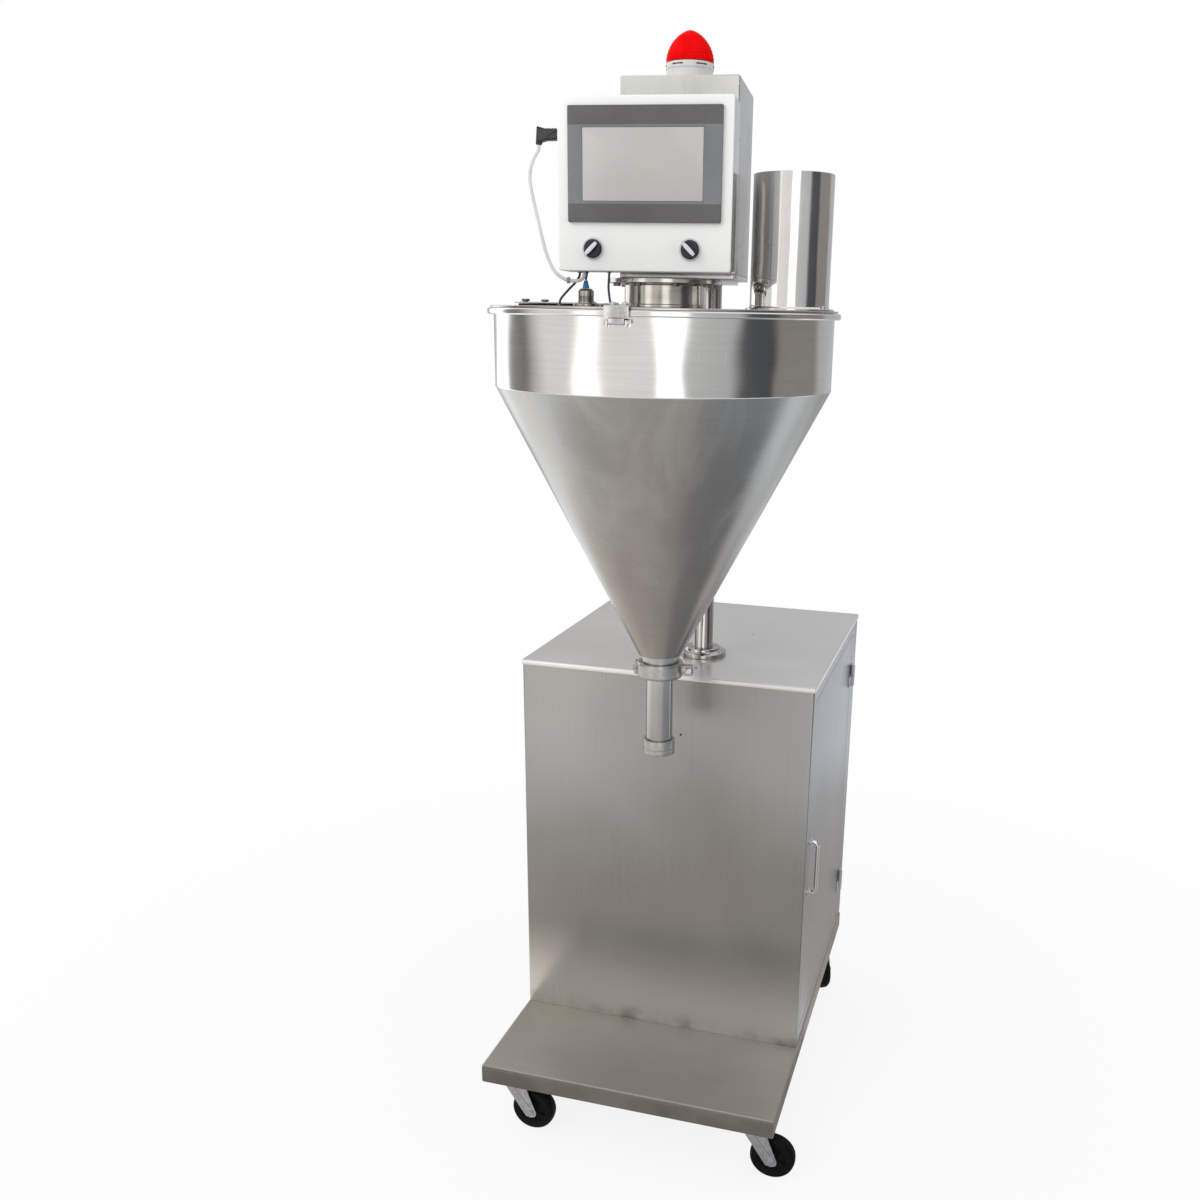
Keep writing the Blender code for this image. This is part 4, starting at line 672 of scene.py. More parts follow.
def roundHead(form, radius, height, at, axis="Z"):
    # a pan head with a recess for the driver
    other = bmesh.new()
    lathe(other, [(0, -0.0004), (radius, -0.0004), (radius, height * 0.45, height * 0.4),
                  (radius * 0.55, height, height * 0.4), (radius * 0.30, height), (radius * 0.22, height * 0.55),
                  (0, height * 0.45)], 24)
    joinForm(form, other, Matrix.Translation(at) @ facing[axis])


def pipe(form, points, radius, sides=12, closed=False):
    # a round bar along a line of points
    points = [Vector(p) for p in points]
    other = bmesh.new()
    rings = []
    count = len(points)
    side = None
    for index, point in enumerate(points):
        ahead = points[(index + 1) % count] if closed or index < count - 1 else point
        behind = points[index - 1] if closed or index > 0 else point
        along = (ahead - behind).normalized()
        if side is None:
            side = along.orthogonal().normalized()
        side = (side - along * side.dot(along)).normalized()
        up = along.cross(side)
        rings.append([other.verts.new(point + radius * (side * math.cos(2 * math.pi * i / sides) +
                                                        up * math.sin(2 * math.pi * i / sides))) for i in range(sides)])
    pairs = list(zip(rings, rings[1:] + rings[:1])) if closed else list(zip(rings, rings[1:]))
    for low, high in pairs:
        for i in range(sides):
            other.faces.new((low[i], low[(i + 1) % sides], high[(i + 1) % sides], high[i]))
    if not closed:
        other.faces.new(rings[0][::-1])
        other.faces.new(rings[-1])
    bmesh.ops.recalc_face_normals(other, faces=other.faces)
    joinForm(form, other)


def foldedSheet(form, low, high, openSides, fold, sheet, rim=0.0003):
    # a box folded from sheet, without the sides named, such as "-Z"
    other = cubeForm(low, high)
    outward = [facing[side].to_3x3() @ Vector((0, 0, 1)) for side in openSides]
    gone = [face for face in other.faces if any(face.normal.dot(way) > 0.9 for way in outward)]
    bmesh.ops.delete(other, geom=gone, context="FACES")
    bevelEdges(other, [edge for edge in other.edges if len(edge.link_faces) == 2], fold, 5)
    mesh = bpy.data.meshes.new("folded")
    other.to_mesh(mesh)
    other.free()
    item = bpy.data.objects.new("folded", mesh)
    scene.collection.objects.link(item)
    thick = item.modifiers.new("sheet", "SOLIDIFY")
    thick.thickness = sheet
    thick.offset = -1
    thick.use_even_offset = True
    soft = item.modifiers.new("rim", "BEVEL")
    soft.width = rim
    soft.segments = 2
    soft.limit_method = "ANGLE"
    soft.angle_limit = math.radians(50)
    settle(item)
    form.from_mesh(item.data)
    bpy.data.objects.remove(item, do_unlink=True)


def settle(item):
    # the evaluated mesh becomes the item's own
    bpy.context.view_layer.update()
    graph = bpy.context.evaluated_depsgraph_get()
    mesh = bpy.data.meshes.new_from_object(item.evaluated_get(graph))
    item.modifiers.clear()
    item.data = mesh


def cutAway(form, cutters):
    # cuts closed forms out of a form and returns the rest
    base = bpy.data.meshes.new("base")
    form.to_mesh(base)
    form.free()
    item = bpy.data.objects.new("base", base)
    scene.collection.objects.link(item)
    tools = []
    for cutter in cutters:
        mesh = bpy.data.meshes.new("cutter")
        cutter.to_mesh(mesh)
        cutter.free()
        tool = bpy.data.objects.new("cutter", mesh)
        scene.collection.objects.link(tool)
        step = item.modifiers.new("cut", "BOOLEAN")
        step.operation = "DIFFERENCE"
        step.object = tool
        tools.append(tool)
    settle(item)
    rest = bmesh.new()
    rest.from_mesh(item.data)
    for tool in tools + [item]:
        bpy.data.objects.remove(tool, do_unlink=True)
    return rest


def rodForm(radius, at, length, axis="Z", steps=48):
    form = bmesh.new()
    lathe(form, [(0, 0), (radius, 0), (radius, length), (0, length)], steps, at, axis)
    return form


def extrude(form, face, way):
    raised = bmesh.ops.extrude_face_region(form, geom=[face])["geom"]
    bmesh.ops.translate(form, vec=way, verts=[part for part in raised if isinstance(part, bmesh.types.BMVert)])
    bmesh.ops.recalc_face_normals(form, faces=form.faces)


def plateForm(points, low, high, fillet=0.0, rim=0.0004):
    # a flat plate from an outline, with rounded corners and broken edges
    corners = roundedLine([(x, y, fillet) for x, y in points], 6)
    form = bmesh.new()
    ring = [form.verts.new((x, y, low)) for x, y in corners]
    face = form.faces.new(ring)
    extrude(form, face, (0, 0, high - low))
    rims = [edge for edge in form.edges if abs(edge.calc_face_angle(0)) > 0.7 and
            abs(edge.verts[0].co.z - edge.verts[1].co.z) < 1e-7]
    bevelEdges(form, rims, rim)
    return form


def addPiece(name, form, place, body, materials, stands=(), smooth=38, pick=None):
    item = linkForm(name, form, materials if isinstance(materials, list) else [materials])
    mesh = item.data
    if pick:
        for face in mesh.polygons:
            face.material_index = pick(face.center)
    mesh.shade_smooth()
    mesh.set_sharp_from_angle(angle=math.radians(smooth))
    item.matrix_world = place
    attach(item, body)
    if stands:
        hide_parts(*stands)
    return item

# the finishes of this machine

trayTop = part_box("base_tray")[1][2]
frontSteel = steelMaterial("cabinetSteel", stretch=(1900.0, 1900.0, 14.0), blotch=3.5, dark=(0.280, 0.273, 0.262),
                           light=(0.328, 0.321, 0.309), roughness=0.29, roughSpread=0.06, streaks=0.35, rub=0.10,
                           rubSize=4.0,
                           stainFoot=trayTop, stainReach=0.034, stain=(0.19, 0.175, 0.150), stainPatch=13.0,
                           # painted light: lighter towards the foot
                           bump=0.0, wave=0.004, waveSize=3.0, metal=0.80, worn=(0.75, 0.73, 0.69),
                           wornLow=trayTop + 0.02, wornHigh=trayTop + 0.185)
hingeSteel = steelMaterial("hingeSteel", stretch=(300.0, 300.0, 300.0), blotch=60.0, dark=(0.42, 0.43, 0.45),
                           light=(0.52, 0.53, 0.55), roughness=0.42, rub=0.2, rubSize=40.0, bump=0.05, metal=0.15)
# painted light: the sides, door included, get a lighter, bluer copy of the front's steel
sideSteel = steelMaterial("sideSteel", stretch=(1900.0, 1900.0, 14.0), blotch=4.0, dark=(0.295, 0.309, 0.335),
                          light=(0.378, 0.392, 0.416), roughness=0.28, roughSpread=0.06, streaks=0.40, rub=0.12,
                          rubSize=5.0, bump=0.03, wave=0.005, waveSize=3.0, metal=0.85)
topSteel = steelMaterial("topSteel", stretch=(14.0, 1700.0, 1700.0), blotch=3.0, dark=(0.690, 0.675, 0.650),
                         light=(0.780, 0.765, 0.740), roughness=0.22, roughSpread=0.06, streaks=0.35, rub=0.12,
                         rubSize=5.0, bump=0.02, metal=0.65)
traySteel = steelMaterial("traySteel", stretch=(14.0, 1500.0, 1500.0), blotch=4.0, dark=(0.305, 0.282, 0.250),
                          light=(0.365, 0.342, 0.310), roughness=0.38, streaks=0.35, rub=0.16, rubSize=6.0,
                          stainFoot=trayTop - 0.012, stainReach=0.016, stain=(0.20, 0.18, 0.15), stainPatch=7.0,
                          bump=0.03, metal=0.50)
# painted shade: a darker copy of traySteel for the tray's front face
lipSteel = steelMaterial("lipSteel", stretch=(14.0, 1500.0, 1500.0), blotch=4.0, dark=(0.165, 0.156, 0.142),
                         light=(0.225, 0.214, 0.198), roughness=0.38, streaks=0.35, rub=0.16, rubSize=6.0,
                         stainFoot=trayTop - 0.012, stainReach=0.016, stain=(0.12, 0.11, 0.09), stainPatch=7.0,
                         bump=0.03, metal=0.50)
backSteel = steelMaterial("panelSteel", stretch=(1600.0, 1600.0, 12.0), blotch=5.0, rub=0.14, streaks=0.45, bump=0.04,
                          metal=0.85)
bandSteel = steelMaterial("bandSteel", stretch=(14.0, 14.0, 1500.0), blotch=5.0, dark=(0.660, 0.652, 0.638),
                          light=(0.775, 0.767, 0.752), roughness=0.115, roughSpread=0.05, streaks=0.40, rub=0.30,
                          rubSize=6.0, anisotropic=0.30, bump=0.015, wave=0.006, waveSize=8.0)
coneSteel = steelMaterial("coneSteel", stretch=(30.0, 30.0, 1300.0), blotch=6.0, dark=(0.345, 0.338, 0.325),
                          light=(0.410, 0.403, 0.390), roughness=0.23, roughSpread=0.08, streaks=0.30, rub=0.50,
                          rubSize=8.0, slant=(0.9, 0.5, 1.0), anisotropic=0.25, bump=0.02, wave=0.005, waveSize=6.0)
lidSteel = steelMaterial("lidSteel", stretch=(1200.0, 14.0, 14.0), blotch=7.0, dark=(0.40, 0.39, 0.38),
                         light=(0.50, 0.49, 0.48), roughness=0.22, streaks=0.45, rub=0.3, bump=0.04)
turnedSteel = steelMaterial("turnedSteel", stretch=(20.0, 20.0, 2200.0), blotch=20.0, dark=(0.300, 0.275, 0.250),
                            light=(0.440, 0.412, 0.385), roughness=0.20, streaks=0.40, rub=0.2, rubSize=25.0,
                            anisotropic=0.4, bump=0.05)
neckSteel = steelMaterial("neckSteel", stretch=(20.0, 20.0, 2000.0), blotch=12.0, dark=(0.460, 0.430, 0.392),
                          light=(0.560, 0.530, 0.490), roughness=0.15, roughSpread=0.05, streaks=0.35, rub=0.2,
                          rubSize=18.0, anisotropic=0.3, bump=0.02, wave=0.002, waveSize=20.0)
brightSteel = steelMaterial("brightSteel", stretch=(900.0, 900.0, 8.0), blotch=7.0, dark=(0.690, 0.680, 0.662),
                            light=(0.790, 0.780, 0.762), roughness=0.055, roughSpread=0.04, streaks=0.40, rub=0.30,
                            rubSize=9.0, bump=0.010, wave=0.003, waveSize=9.0)
tubeSteel = steelMaterial("tubeSteel", stretch=(900.0, 900.0, 8.0), blotch=9.0, dark=(0.400, 0.390, 0.375),
                          light=(0.500, 0.490, 0.475), roughness=0.14, roughSpread=0.06, streaks=0.40, rub=0.35,
                          rubSize=14.0, bump=0.015, wave=0.002, waveSize=12.0)
augerSteel = steelMaterial("augerTubeSteel", stretch=(1100.0, 1100.0, 10.0), blotch=14.0, dark=(0.400, 0.390, 0.370),
                           light=(0.480, 0.470, 0.450), roughness=0.16, roughSpread=0.05, streaks=0.40, rub=0.30,
                           rubSize=18.0, bump=0.02)
castSteel = steelMaterial("castSteel", stretch=(260.0, 260.0, 260.0), blotch=60.0, dark=(0.300, 0.290, 0.272),
                          light=(0.440, 0.430, 0.408), roughness=0.30, rub=0.3, rubSize=30.0, bump=0.14, metal=0.9)
zincPlate = steelMaterial("zincPlate", stretch=(120.0, 120.0, 120.0), blotch=70.0, dark=(0.36, 0.38, 0.42),
                          light=(0.54, 0.56, 0.60), roughness=0.28, rub=0.4, rubSize=40.0, bump=0.06)
mountSteel = steelMaterial("mountSteel", stretch=(60.0, 60.0, 60.0), blotch=9.0, dark=(0.44, 0.46, 0.49),
                           light=(0.50, 0.52, 0.55), roughness=0.36, rub=0.10, rubSize=9.0, bump=0.02, metal=0.7)
boltSteel = steelMaterial("boltSteel", stretch=(400.0, 400.0, 400.0), blotch=90.0, dark=(0.42, 0.42, 0.42),
                          light=(0.60, 0.60, 0.60), roughness=0.20, rub=0.2, rubSize=60.0, bump=0.05)
darkSteel = steelMaterial("darkSteel", stretch=(500.0, 500.0, 500.0), blotch=60.0, dark=(0.13, 0.13, 0.135),
                          light=(0.22, 0.22, 0.225), roughness=0.32, rub=0.2, rubSize=40.0)
housingSteel = steelMaterial("housingSteel", stretch=(1800.0, 1800.0, 12.0), blotch=9.0, dark=(0.540, 0.538, 0.515),
                             light=(0.680, 0.678, 0.655), roughness=0.27, roughSpread=0.06, streaks=0.22, rub=0.25,
                             bump=0.015, wave=0.004, waveSize=5.0, metal=0.60)
castAluminium = steelMaterial("castAluminium", stretch=(160.0, 160.0, 160.0), blotch=40.0, dark=(0.46, 0.46, 0.46),
                              light=(0.60, 0.60, 0.60), roughness=0.38, rub=0.15, rubSize=30.0, bump=0.15)
palePaint = mouldedMaterial("palePaint", dark=(0.925, 0.930, 0.915), light=(0.965, 0.968, 0.955), roughness=0.34,
                            grain=1400.0, cloud=6.0, bump=0.04, dust=0.04, dustColour=(0.66, 0.65, 0.60))
# painted shade: a greyer, shiny stand-in for the white paint on the box's right side and top
boxSide = steelMaterial("boxSide", stretch=(1600.0, 1600.0, 12.0), blotch=10.0, dark=(0.72, 0.72, 0.70),
                        light=(0.84, 0.84, 0.82), roughness=0.16, roughSpread=0.05, streaks=0.3, rub=0.2, bump=0.02,
                        metal=0.9)
bezelPlastic = mouldedMaterial("bezelPlastic", dark=(0.088, 0.085, 0.084), light=(0.110, 0.107, 0.106), roughness=0.38,
                               grain=1600.0, cloud=20.0, bump=0.06)
bezelSide = mouldedMaterial("bezelSide", dark=(0.155, 0.165, 0.175), light=(0.190, 0.200, 0.210), roughness=0.36,
                            grain=1600.0, cloud=20.0, bump=0.05)
screenFilm = mouldedMaterial("screenFilm", dark=(0.490, 0.470, 0.452), light=(0.550, 0.528, 0.510), roughness=0.22,
                             grain=2600.0, cloud=5.0, bump=0.02, coat=0.4)
blackPlastic = mouldedMaterial("blackPlastic")
motorPaint = mouldedMaterial("motorPaint", dark=(0.015, 0.015, 0.018), light=(0.03, 0.03, 0.034), roughness=0.5)
wheelRubber = mouldedMaterial("wheelRubber", dark=(0.002, 0.002, 0.002), light=(0.006, 0.006, 0.006), roughness=0.50,
                              grain=700.0, cloud=40.0, bump=0.12, dust=0.02, dustColour=(0.06, 0.057, 0.052),
                              shine=0.10)
gasketRubber = mouldedMaterial("gasketRubber", dark=(0.008, 0.008, 0.009), light=(0.02, 0.02, 0.022), roughness=0.7)
knobPlastic = mouldedMaterial("knobPlastic", dark=(0.010, 0.013, 0.024), light=(0.020, 0.025, 0.040), roughness=0.34,
                              grain=1800.0, shine=0.4)
silverPaint = mouldedMaterial("silverPaint", dark=(0.62, 0.63, 0.64), light=(0.76, 0.77, 0.78), roughness=0.35,
                              grain=2500.0)
bluePlastic = mouldedMaterial("bluePlastic", dark=(0.020, 0.150, 0.470), light=(0.035, 0.220, 0.600), roughness=0.4)
palePlastic = mouldedMaterial("palePlastic", dark=(0.68, 0.675, 0.655), light=(0.77, 0.765, 0.745), roughness=0.4,
                              grain=1500.0, dust=0.08, dustColour=(0.5, 0.48, 0.44))
# painted shade: dark plates stand in for the shade inside the beacon base's slots
darkSlot = mouldedMaterial("darkSlot", dark=(0.05, 0.05, 0.05), light=(0.09, 0.085, 0.08), roughness=0.6)
whiteSheath = mouldedMaterial("whiteSheath", dark=(0.66, 0.67, 0.64), light=(0.78, 0.79, 0.76), roughness=0.42,
                              grain=1200.0, cloud=30.0, dust=0.10, dustColour=(0.5, 0.48, 0.42))
darkSheath = mouldedMaterial("darkSheath", dark=(0.010, 0.022, 0.060), light=(0.022, 0.045, 0.110), roughness=0.38,
                             grain=1600.0, cloud=60.0)
clipPlastic = mouldedMaterial("clipPlastic", dark=(0.26, 0.26, 0.25), light=(0.36, 0.36, 0.35), roughness=0.45)


def lensMaterial():
    material, tree, shader, place = newMaterial("redLens")
    links = tree.links.new
    skin = useGroup(tree, speckGroup, place, -1000, 100, Grain=500.0, Cloud_Size=30.0)
    links(blendColours(tree, skin.outputs["Cloud"], (0.80, 0.002, 0.003), (0.94, 0.006, 0.006), -200, 200),
          shader.inputs["Base Color"])
    links(mathNode(tree, "ADD", 0.22, mathNode(tree, "MULTIPLY", skin.outputs["Cloud"], 0.10, 0, 0), 200, 0),
          shader.inputs["Roughness"])
    shader.inputs["Specular IOR Level"].default_value = 0.06
    shader.inputs["IOR"].default_value = 1.12
    return material


redLens = lensMaterial()
print("finishes made:", len(bpy.data.materials))

# base tray and castors

tray = {"sheet": 0.002, "fold": 0.0032, "hem": 0.012, "hemSheet": 0.0016, "bead": 0.0009, "beadInset": 0.0010,
        "beadStep": 0.0026, "padHalf": 0.032}


corners = ("front_left", "front_right", "rear_left", "rear_right")


def buildTray():
    low, high = localBox("base_tray", machineFrame)
    form = bmesh.new()
    foldedSheet(form, low, high, ["-Z"], tray["fold"], tray["sheet"])
    # hems turned in along the lower edges
    inner, hem = tray["sheet"] + 0.0002, tray["hem"]
    left, right, front, back = low.x + inner, high.x - inner, low.y + inner, high.y - inner
    for a, b in (((left, front), (right, front + hem)), ((left, back - hem), (right, back)),
                 ((left, front + hem), (left + hem, back - hem)), ((right - hem, front + hem), (right, back - hem))):
        roundedBlock(form, (*a, low.z + 0.0002), (*b, low.z + 0.0002 + tray["hemSheet"]), 0.0004)
    # ground weld beads on the four corner joints
    for x, y in ((low.x, low.y), (high.x, low.y), (low.x, high.y), (high.x, high.y)):
        x -= math.copysign(tray["beadInset"], x)
        y -= math.copysign(tray["beadInset"], y)
        bead = [Vector((x, y, low.z + 0.0012 + tray["beadStep"] * i)) for i in range(11)]
        pipe(form, bead, tray["bead"], 8)
    # pads that the castors are bolted to
    half = tray["padHalf"]
    for place in corners:
        plateLow, plateHigh = localBox("caster_plate_" + place, machineFrame)
        middle = (plateLow + plateHigh) / 2
        roundedBlock(form, (middle.x - half, middle.y - half, low.z + 0.0001),
                     (middle.x + half, middle.y + half, high.z - tray["sheet"]), 0.001)
    # the tray's front face takes the darker copy: painted shade
    addPiece("tray", form, machineFrame, "machine", [traySteel, lipSteel], ["base_tray"],
             pick=lambda centre: int(centre.y < low.y + 0.0006))


castor = {"bolt": 0.00504, "boltInset": 0.009, "race": 0.0235, "crown": 0.0195, "crownDeep": 0.0048,
          "cheek": 0.0025, "axle": 0.0046, "washer": 0.0080, "tyreEdge": 0.0045, "mouldLine": 0.0022, "bore": 0.0054,
          "hub": 0.0105, "rimInside": 0.0235, "spokes": 6}


def buildCastor(place):
    pivotAt = joints["caster_swivel_" + place]["pos_m"]
    axle = joints["wheel_spin_" + place]
    heading = math.atan2(-axle["axis"][0], axle["axis"][1])
    ahead = Vector((math.cos(heading), math.sin(heading), 0))
    if (Vector(axle["pos_m"]) - Vector(pivotAt)).dot(ahead) < 0:
        heading += math.pi
    frameHere = Matrix.Translation((pivotAt[0], pivotAt[1], 0)) @ Matrix.Rotation(heading, 4, "Z")
    plateLow, plateHigh = localBox("caster_plate_" + place, frameHere)
    forkLow, forkHigh = localBox("caster_fork_" + place, frameHere)
    wheelLow, wheelHigh = localBox("caster_wheel_" + place, frameHere)
    hub = (wheelLow + wheelHigh) / 2
    radius = (wheelHigh.z - wheelLow.z) / 2
    wide = (wheelHigh.y - wheelLow.y) / 2
    trail = hub.x

    # top plate with four bolts, a pressed race and a kingpin rivet
    form = bmesh.new()
    half, top, race = (plateHigh.x - plateLow.x) / 2, plateHigh.z, castor["race"]
    square = [(-half, -half), (half, -half), (half, half), (-half, half)]
    joinForm(form, plateForm(square, top - 0.003, top, 0.006))
    lathe(form, [(0, top - 0.002), (race, top - 0.0028), (race - 0.0010, top - 0.0062, 0.002),
                 (race - 0.0040, plateLow.z + 0.0006, 0.001), (race - 0.0070, plateLow.z + 0.0002),
                 (0, plateLow.z + 0.0002)], 48)
    inset = half - castor["boltInset"]
    for x in (-inset, inset):
        for y in (-inset, inset):
            hexHead(form, castor["bolt"], 0.0034, (x, y, top - 0.0030), "-Z", 0.4 * x)
    addPiece("castorPlate_" + place, form, frameHere, "machine", zincPlate,
             ["caster_plate_" + place])

    # fork: pressed crown with two bent, tapering legs
    leg, crown = forkHigh.y - 0.003, forkHigh.z
    deep, crownRim, washer = crown - castor["crownDeep"], castor["crown"] + 0.003, castor["washer"]
    form = bmesh.new()
    lathe(form, [(0, crown), (castor["crown"], crown, 0.001), (crownRim, crown - 0.0022, 0.001),
                 (crownRim, deep, 0.0015),
                 (0, deep)], 48)
    side = [(-0.0175, crown - 0.0005), (0.0225, crown - 0.0005), (trail + 0.0100, hub.z + 0.002),
            (trail + 0.0088, hub.z - 0.0072), (trail - 0.0082, hub.z - 0.0078), (-0.0040, crown - 0.0210)]
    for sign in (-1, 1):
        cheek = plateForm(side, 0, castor["cheek"], 0.0052, 0.0005)
        out = castor["cheek"] / 2
        joinForm(form, cheek, Matrix.Translation((0, sign * (leg - out) + out, 0)) @ standUp)
        # pressed rib along the cheek
        ribTop = Vector((0.004, sign * (leg - 0.0003), crown - 0.010))
        ribFoot = Vector((trail - 0.001, sign * (leg - 0.0003), hub.z + 0.010))
        pipe(form, [ribTop.lerp(ribFoot, i / 10) for i in range(11)], 0.0013, 8)
        # axle nut on its washer
        hexHead(form, 0.0064, 0.0028, (trail, sign * leg, hub.z), "Y" if sign > 0 else "-Y", 0.3)
        lathe(form, [(0, -sign * 0.0002), (washer, -sign * 0.0002), (washer, sign * 0.0008, 0.0003),
                     (0, sign * 0.0008)], 24, (trail, sign * leg, hub.z), "Y")
    roundedBlock(form, (-0.0165, -leg, deep), (0.0215, leg, crown - 0.0006), 0.0010, 3)
    lathe(form, [(0, -leg), (castor["axle"], -leg), (castor["axle"], leg), (0, leg)], 24, (trail, 0, hub.z), "Y")
    addPiece("castorFork_" + place, form, frameHere, "caster_" + place, zincPlate,
             ["caster_fork_" + place])

    # wheel: crowned tread with mould lines, recessed sides and a ribbed hub
    form = bmesh.new()
    edge, hubRadius, rimInside = castor["tyreEdge"], castor["hub"], castor["rimInside"]
    face = [(castor["bore"], wide), (hubRadius, wide, 0.0006), (hubRadius + 0.0015, wide - 0.0026, 0.0008),
            (rimInside - 0.0020, wide - 0.0030, 0.0008), (rimInside, wide - 0.0006, 0.001),
            (radius - edge, wide - 0.0002, 0.002), (radius - 0.0008, wide - edge, 0.003), (radius, castor["mouldLine"]),
            (radius, 0.0006)]
    section = face + [(radius - 0.0004, 0.0)] + [(point[0], -point[1], *point[2:]) for point in face[::-1]]
    lathe(form, section, 96, (trail, 0, hub.z), "Y")
    for index in range(castor["spokes"]):
        turn = index * 2 * math.pi / castor["spokes"] + 0.3
        spoke = Matrix.Translation((trail, 0, hub.z)) @ Matrix.Rotation(turn, 4, "Y")
        for sign in (-1, 1):
            near, far = sorted((sign * (wide - 0.0034), sign * (wide - 0.0010)))
            roundedBlock(form, (hubRadius, near, -0.0011), (rimInside, far, 0.0011), 0.0004, 2, spoke)
    addPiece("wheel_" + place, form, frameHere, "wheel_" + place, wheelRubber,
             ["caster_wheel_" + place])


buildTray()
for corner in corners:
    buildCastor(corner)
print("tray and castors built")

# cabinet

cabinet = {"sheet": 0.0015, "fold": 0.0028, "topFold": 0.0022, "doorGap": 0.0012, "doorSheet": 0.0012, "knuckle": 0.004,
           "hingeFoot": 0.0785, "hingeHead": 0.0815, "holeRadius": 0.0022, "hole": (0.0858, 0.2893),
           "frontHole": (0.0305, 0.6884), "columnHole": 0.0185, "grip": 0.0034, "gripBend": 0.008,
           "panelSheet": 0.0013, "louvres": 6, "louvreStep": 0.022, "louvreHalf": 0.050}


def buildCabinet():
    low, high = localBox("cabinet_shell", machineFrame)
    doorLow, doorHigh = localBox("cabinet_door", machineFrame)
    panelLow, panelHigh = localBox("back_panel", machineFrame)
    topLow, topHigh = localBox("cabinet_top", machineFrame)
    right = -low.x                      # the shell's own knuckles stand proud of its right side
    back = panelLow.y - 0.0003
    foot = trayTop + 0.0002
    form = bmesh.new()
    foldedSheet(form, (low.x, low.y, foot), (right, back, high.z), ["-Z", "Z"], cabinet["fold"], cabinet["sheet"])
    gap = cabinet["doorGap"]
    door = cubeForm((right - 0.012, doorLow.y - gap, doorLow.z - gap),
                    (right + 0.01, doorHigh.y + gap - 0.004, doorHigh.z + gap))
    rear = cubeForm((low.x + 0.022, back - 0.01, foot + 0.026), (right - 0.022, back + 0.01, high.z - 0.026))
    x, z = cabinet["frontHole"]
    hole = rodForm(0.0018, (x, low.y - 0.01, z), 0.02, "Y", 24)
    form = cutAway(form, [door, rear, hole])
    # fixed halves of the two door hinges
    hinge = machineFrame.inverted() @ Vector(joints["door_hinge"]["pos_m"])
    knuckle = cabinet["knuckle"]
    middles = (doorLow.z + cabinet["hingeFoot"], doorHigh.z - cabinet["hingeHead"])
    for middle in middles:
        lathe(form, [(0, middle + 0.0004), (knuckle, middle + 0.0004, 0.0006), (knuckle, middle + 0.0203, 0.0006),
                     (0, middle + 0.0203)], 24, (hinge.x, hinge.y, 0))
        roundedBlock(form, (right - 0.0004, hinge.y + 0.0008, middle + 0.0005),
                     (right + 0.0022, hinge.y + 0.0140, middle + 0.0203), 0.0005)

    # the sides take the lighter, bluer copy: painted light
    def whichSteel(centre):
        if (centre.xy - hinge.xy).length < 0.0155 and centre.x > right - 0.0010:
            return 2
        return 1 if abs(centre.x) > right - 0.0006 else 0
    addPiece("cabinetBody", form, machineFrame, "machine", [frontSteel, sideSteel, hingeSteel],
             ["cabinet_shell"], pick=whichSteel)

    # door: flat pan with its edges folded back, knuckles on the rear edge
    form = bmesh.new()
    foldedSheet(form, (right - 0.010, doorLow.y, doorLow.z), (right, doorHigh.y - 0.0045, doorHigh.z), ["-X"], 0.0016,
                cabinet["doorSheet"])
    for middle in middles:
        lathe(form, [(0, middle - 0.0200), (knuckle, middle - 0.0200, 0.0006), (knuckle, middle, 0.0006), (0, middle)],
              24, (hinge.x, hinge.y, 0))
        lathe(form, [(0, middle - 0.0218), (0.0030, middle - 0.0214, 0.0008), (0.0030, middle - 0.0198),
                     (0, middle - 0.0198)], 24, (hinge.x, hinge.y, 0))
        roundedBlock(form, (right - 0.0004, hinge.y - 0.0200, middle - 0.0200),
                     (right + 0.0022, hinge.y - 0.0008, middle), 0.0005)
        for z in (middle - 0.0155, middle - 0.0045):
            roundHead(form, 0.0024, 0.0012, (right + 0.0022, hinge.y - 0.0145, z), "X")
    addPiece("door", form, machineFrame, "door", [sideSteel, hingeSteel], ["cabinet_door"],
             pick=lambda centre: int((centre.xy - hinge.xy).length < 0.0045 or centre.x > right + 0.0002))

    # bow handle on two bases
    gripLow, gripHigh = localBox("door_handle", machineFrame)
    radius, bend = cabinet["grip"], cabinet["gripBend"]
    y = (gripLow.y + gripHigh.y) / 2
    outX = gripHigh.x - radius
    lowZ, highZ = gripLow.z + radius, gripHigh.z - radius
    arc = [(bend * math.sin(math.radians(a)), bend * math.cos(math.radians(a))) for a in range(0, 91, 15)]
    line = [(gripLow.x, y, lowZ)]
    line += [(outX - bend + across, y, lowZ + bend - along) for across, along in arc]
    line += [(outX, y, lowZ + bend + (highZ - lowZ - 2 * bend) * i / 6) for i in range(1, 6)]
    line += [(outX - bend + along, y, highZ - bend + across) for across, along in arc]
    line += [(gripLow.x, y, highZ)]
    form = bmesh.new()
    pipe(form, line, radius, 20)
    for z in (lowZ, highZ):
        lathe(form, [(0, 0.0002), (0.0068, 0.0002), (0.0068, 0.0012, 0.0006), (0.0046, 0.0030, 0.0010), (0, 0.0030)],
              32,
              (gripLow.x - 0.0002, y, z), "X")
    addPiece("doorHandle", form, machineFrame, "door", brightSteel, ["door_handle"])

    # folded top with a lip all round
    columnPlace = localBox("column", machineFrame)
    columnAt = (columnPlace[0] + columnPlace[1]) / 2
    form = bmesh.new()
    foldedSheet(form, topLow, topHigh, ["-Z"], cabinet["topFold"], cabinet["sheet"])
    form = cutAway(form, [rodForm(cabinet["columnHole"], (columnAt.x, columnAt.y, topHigh.z - 0.02), 0.04),
                          rodForm(cabinet["holeRadius"], (*cabinet["hole"], topHigh.z - 0.02), 0.04, steps=24)])
    addPiece("cabinetLid", form, machineFrame, "machine", topSteel, ["cabinet_top"])

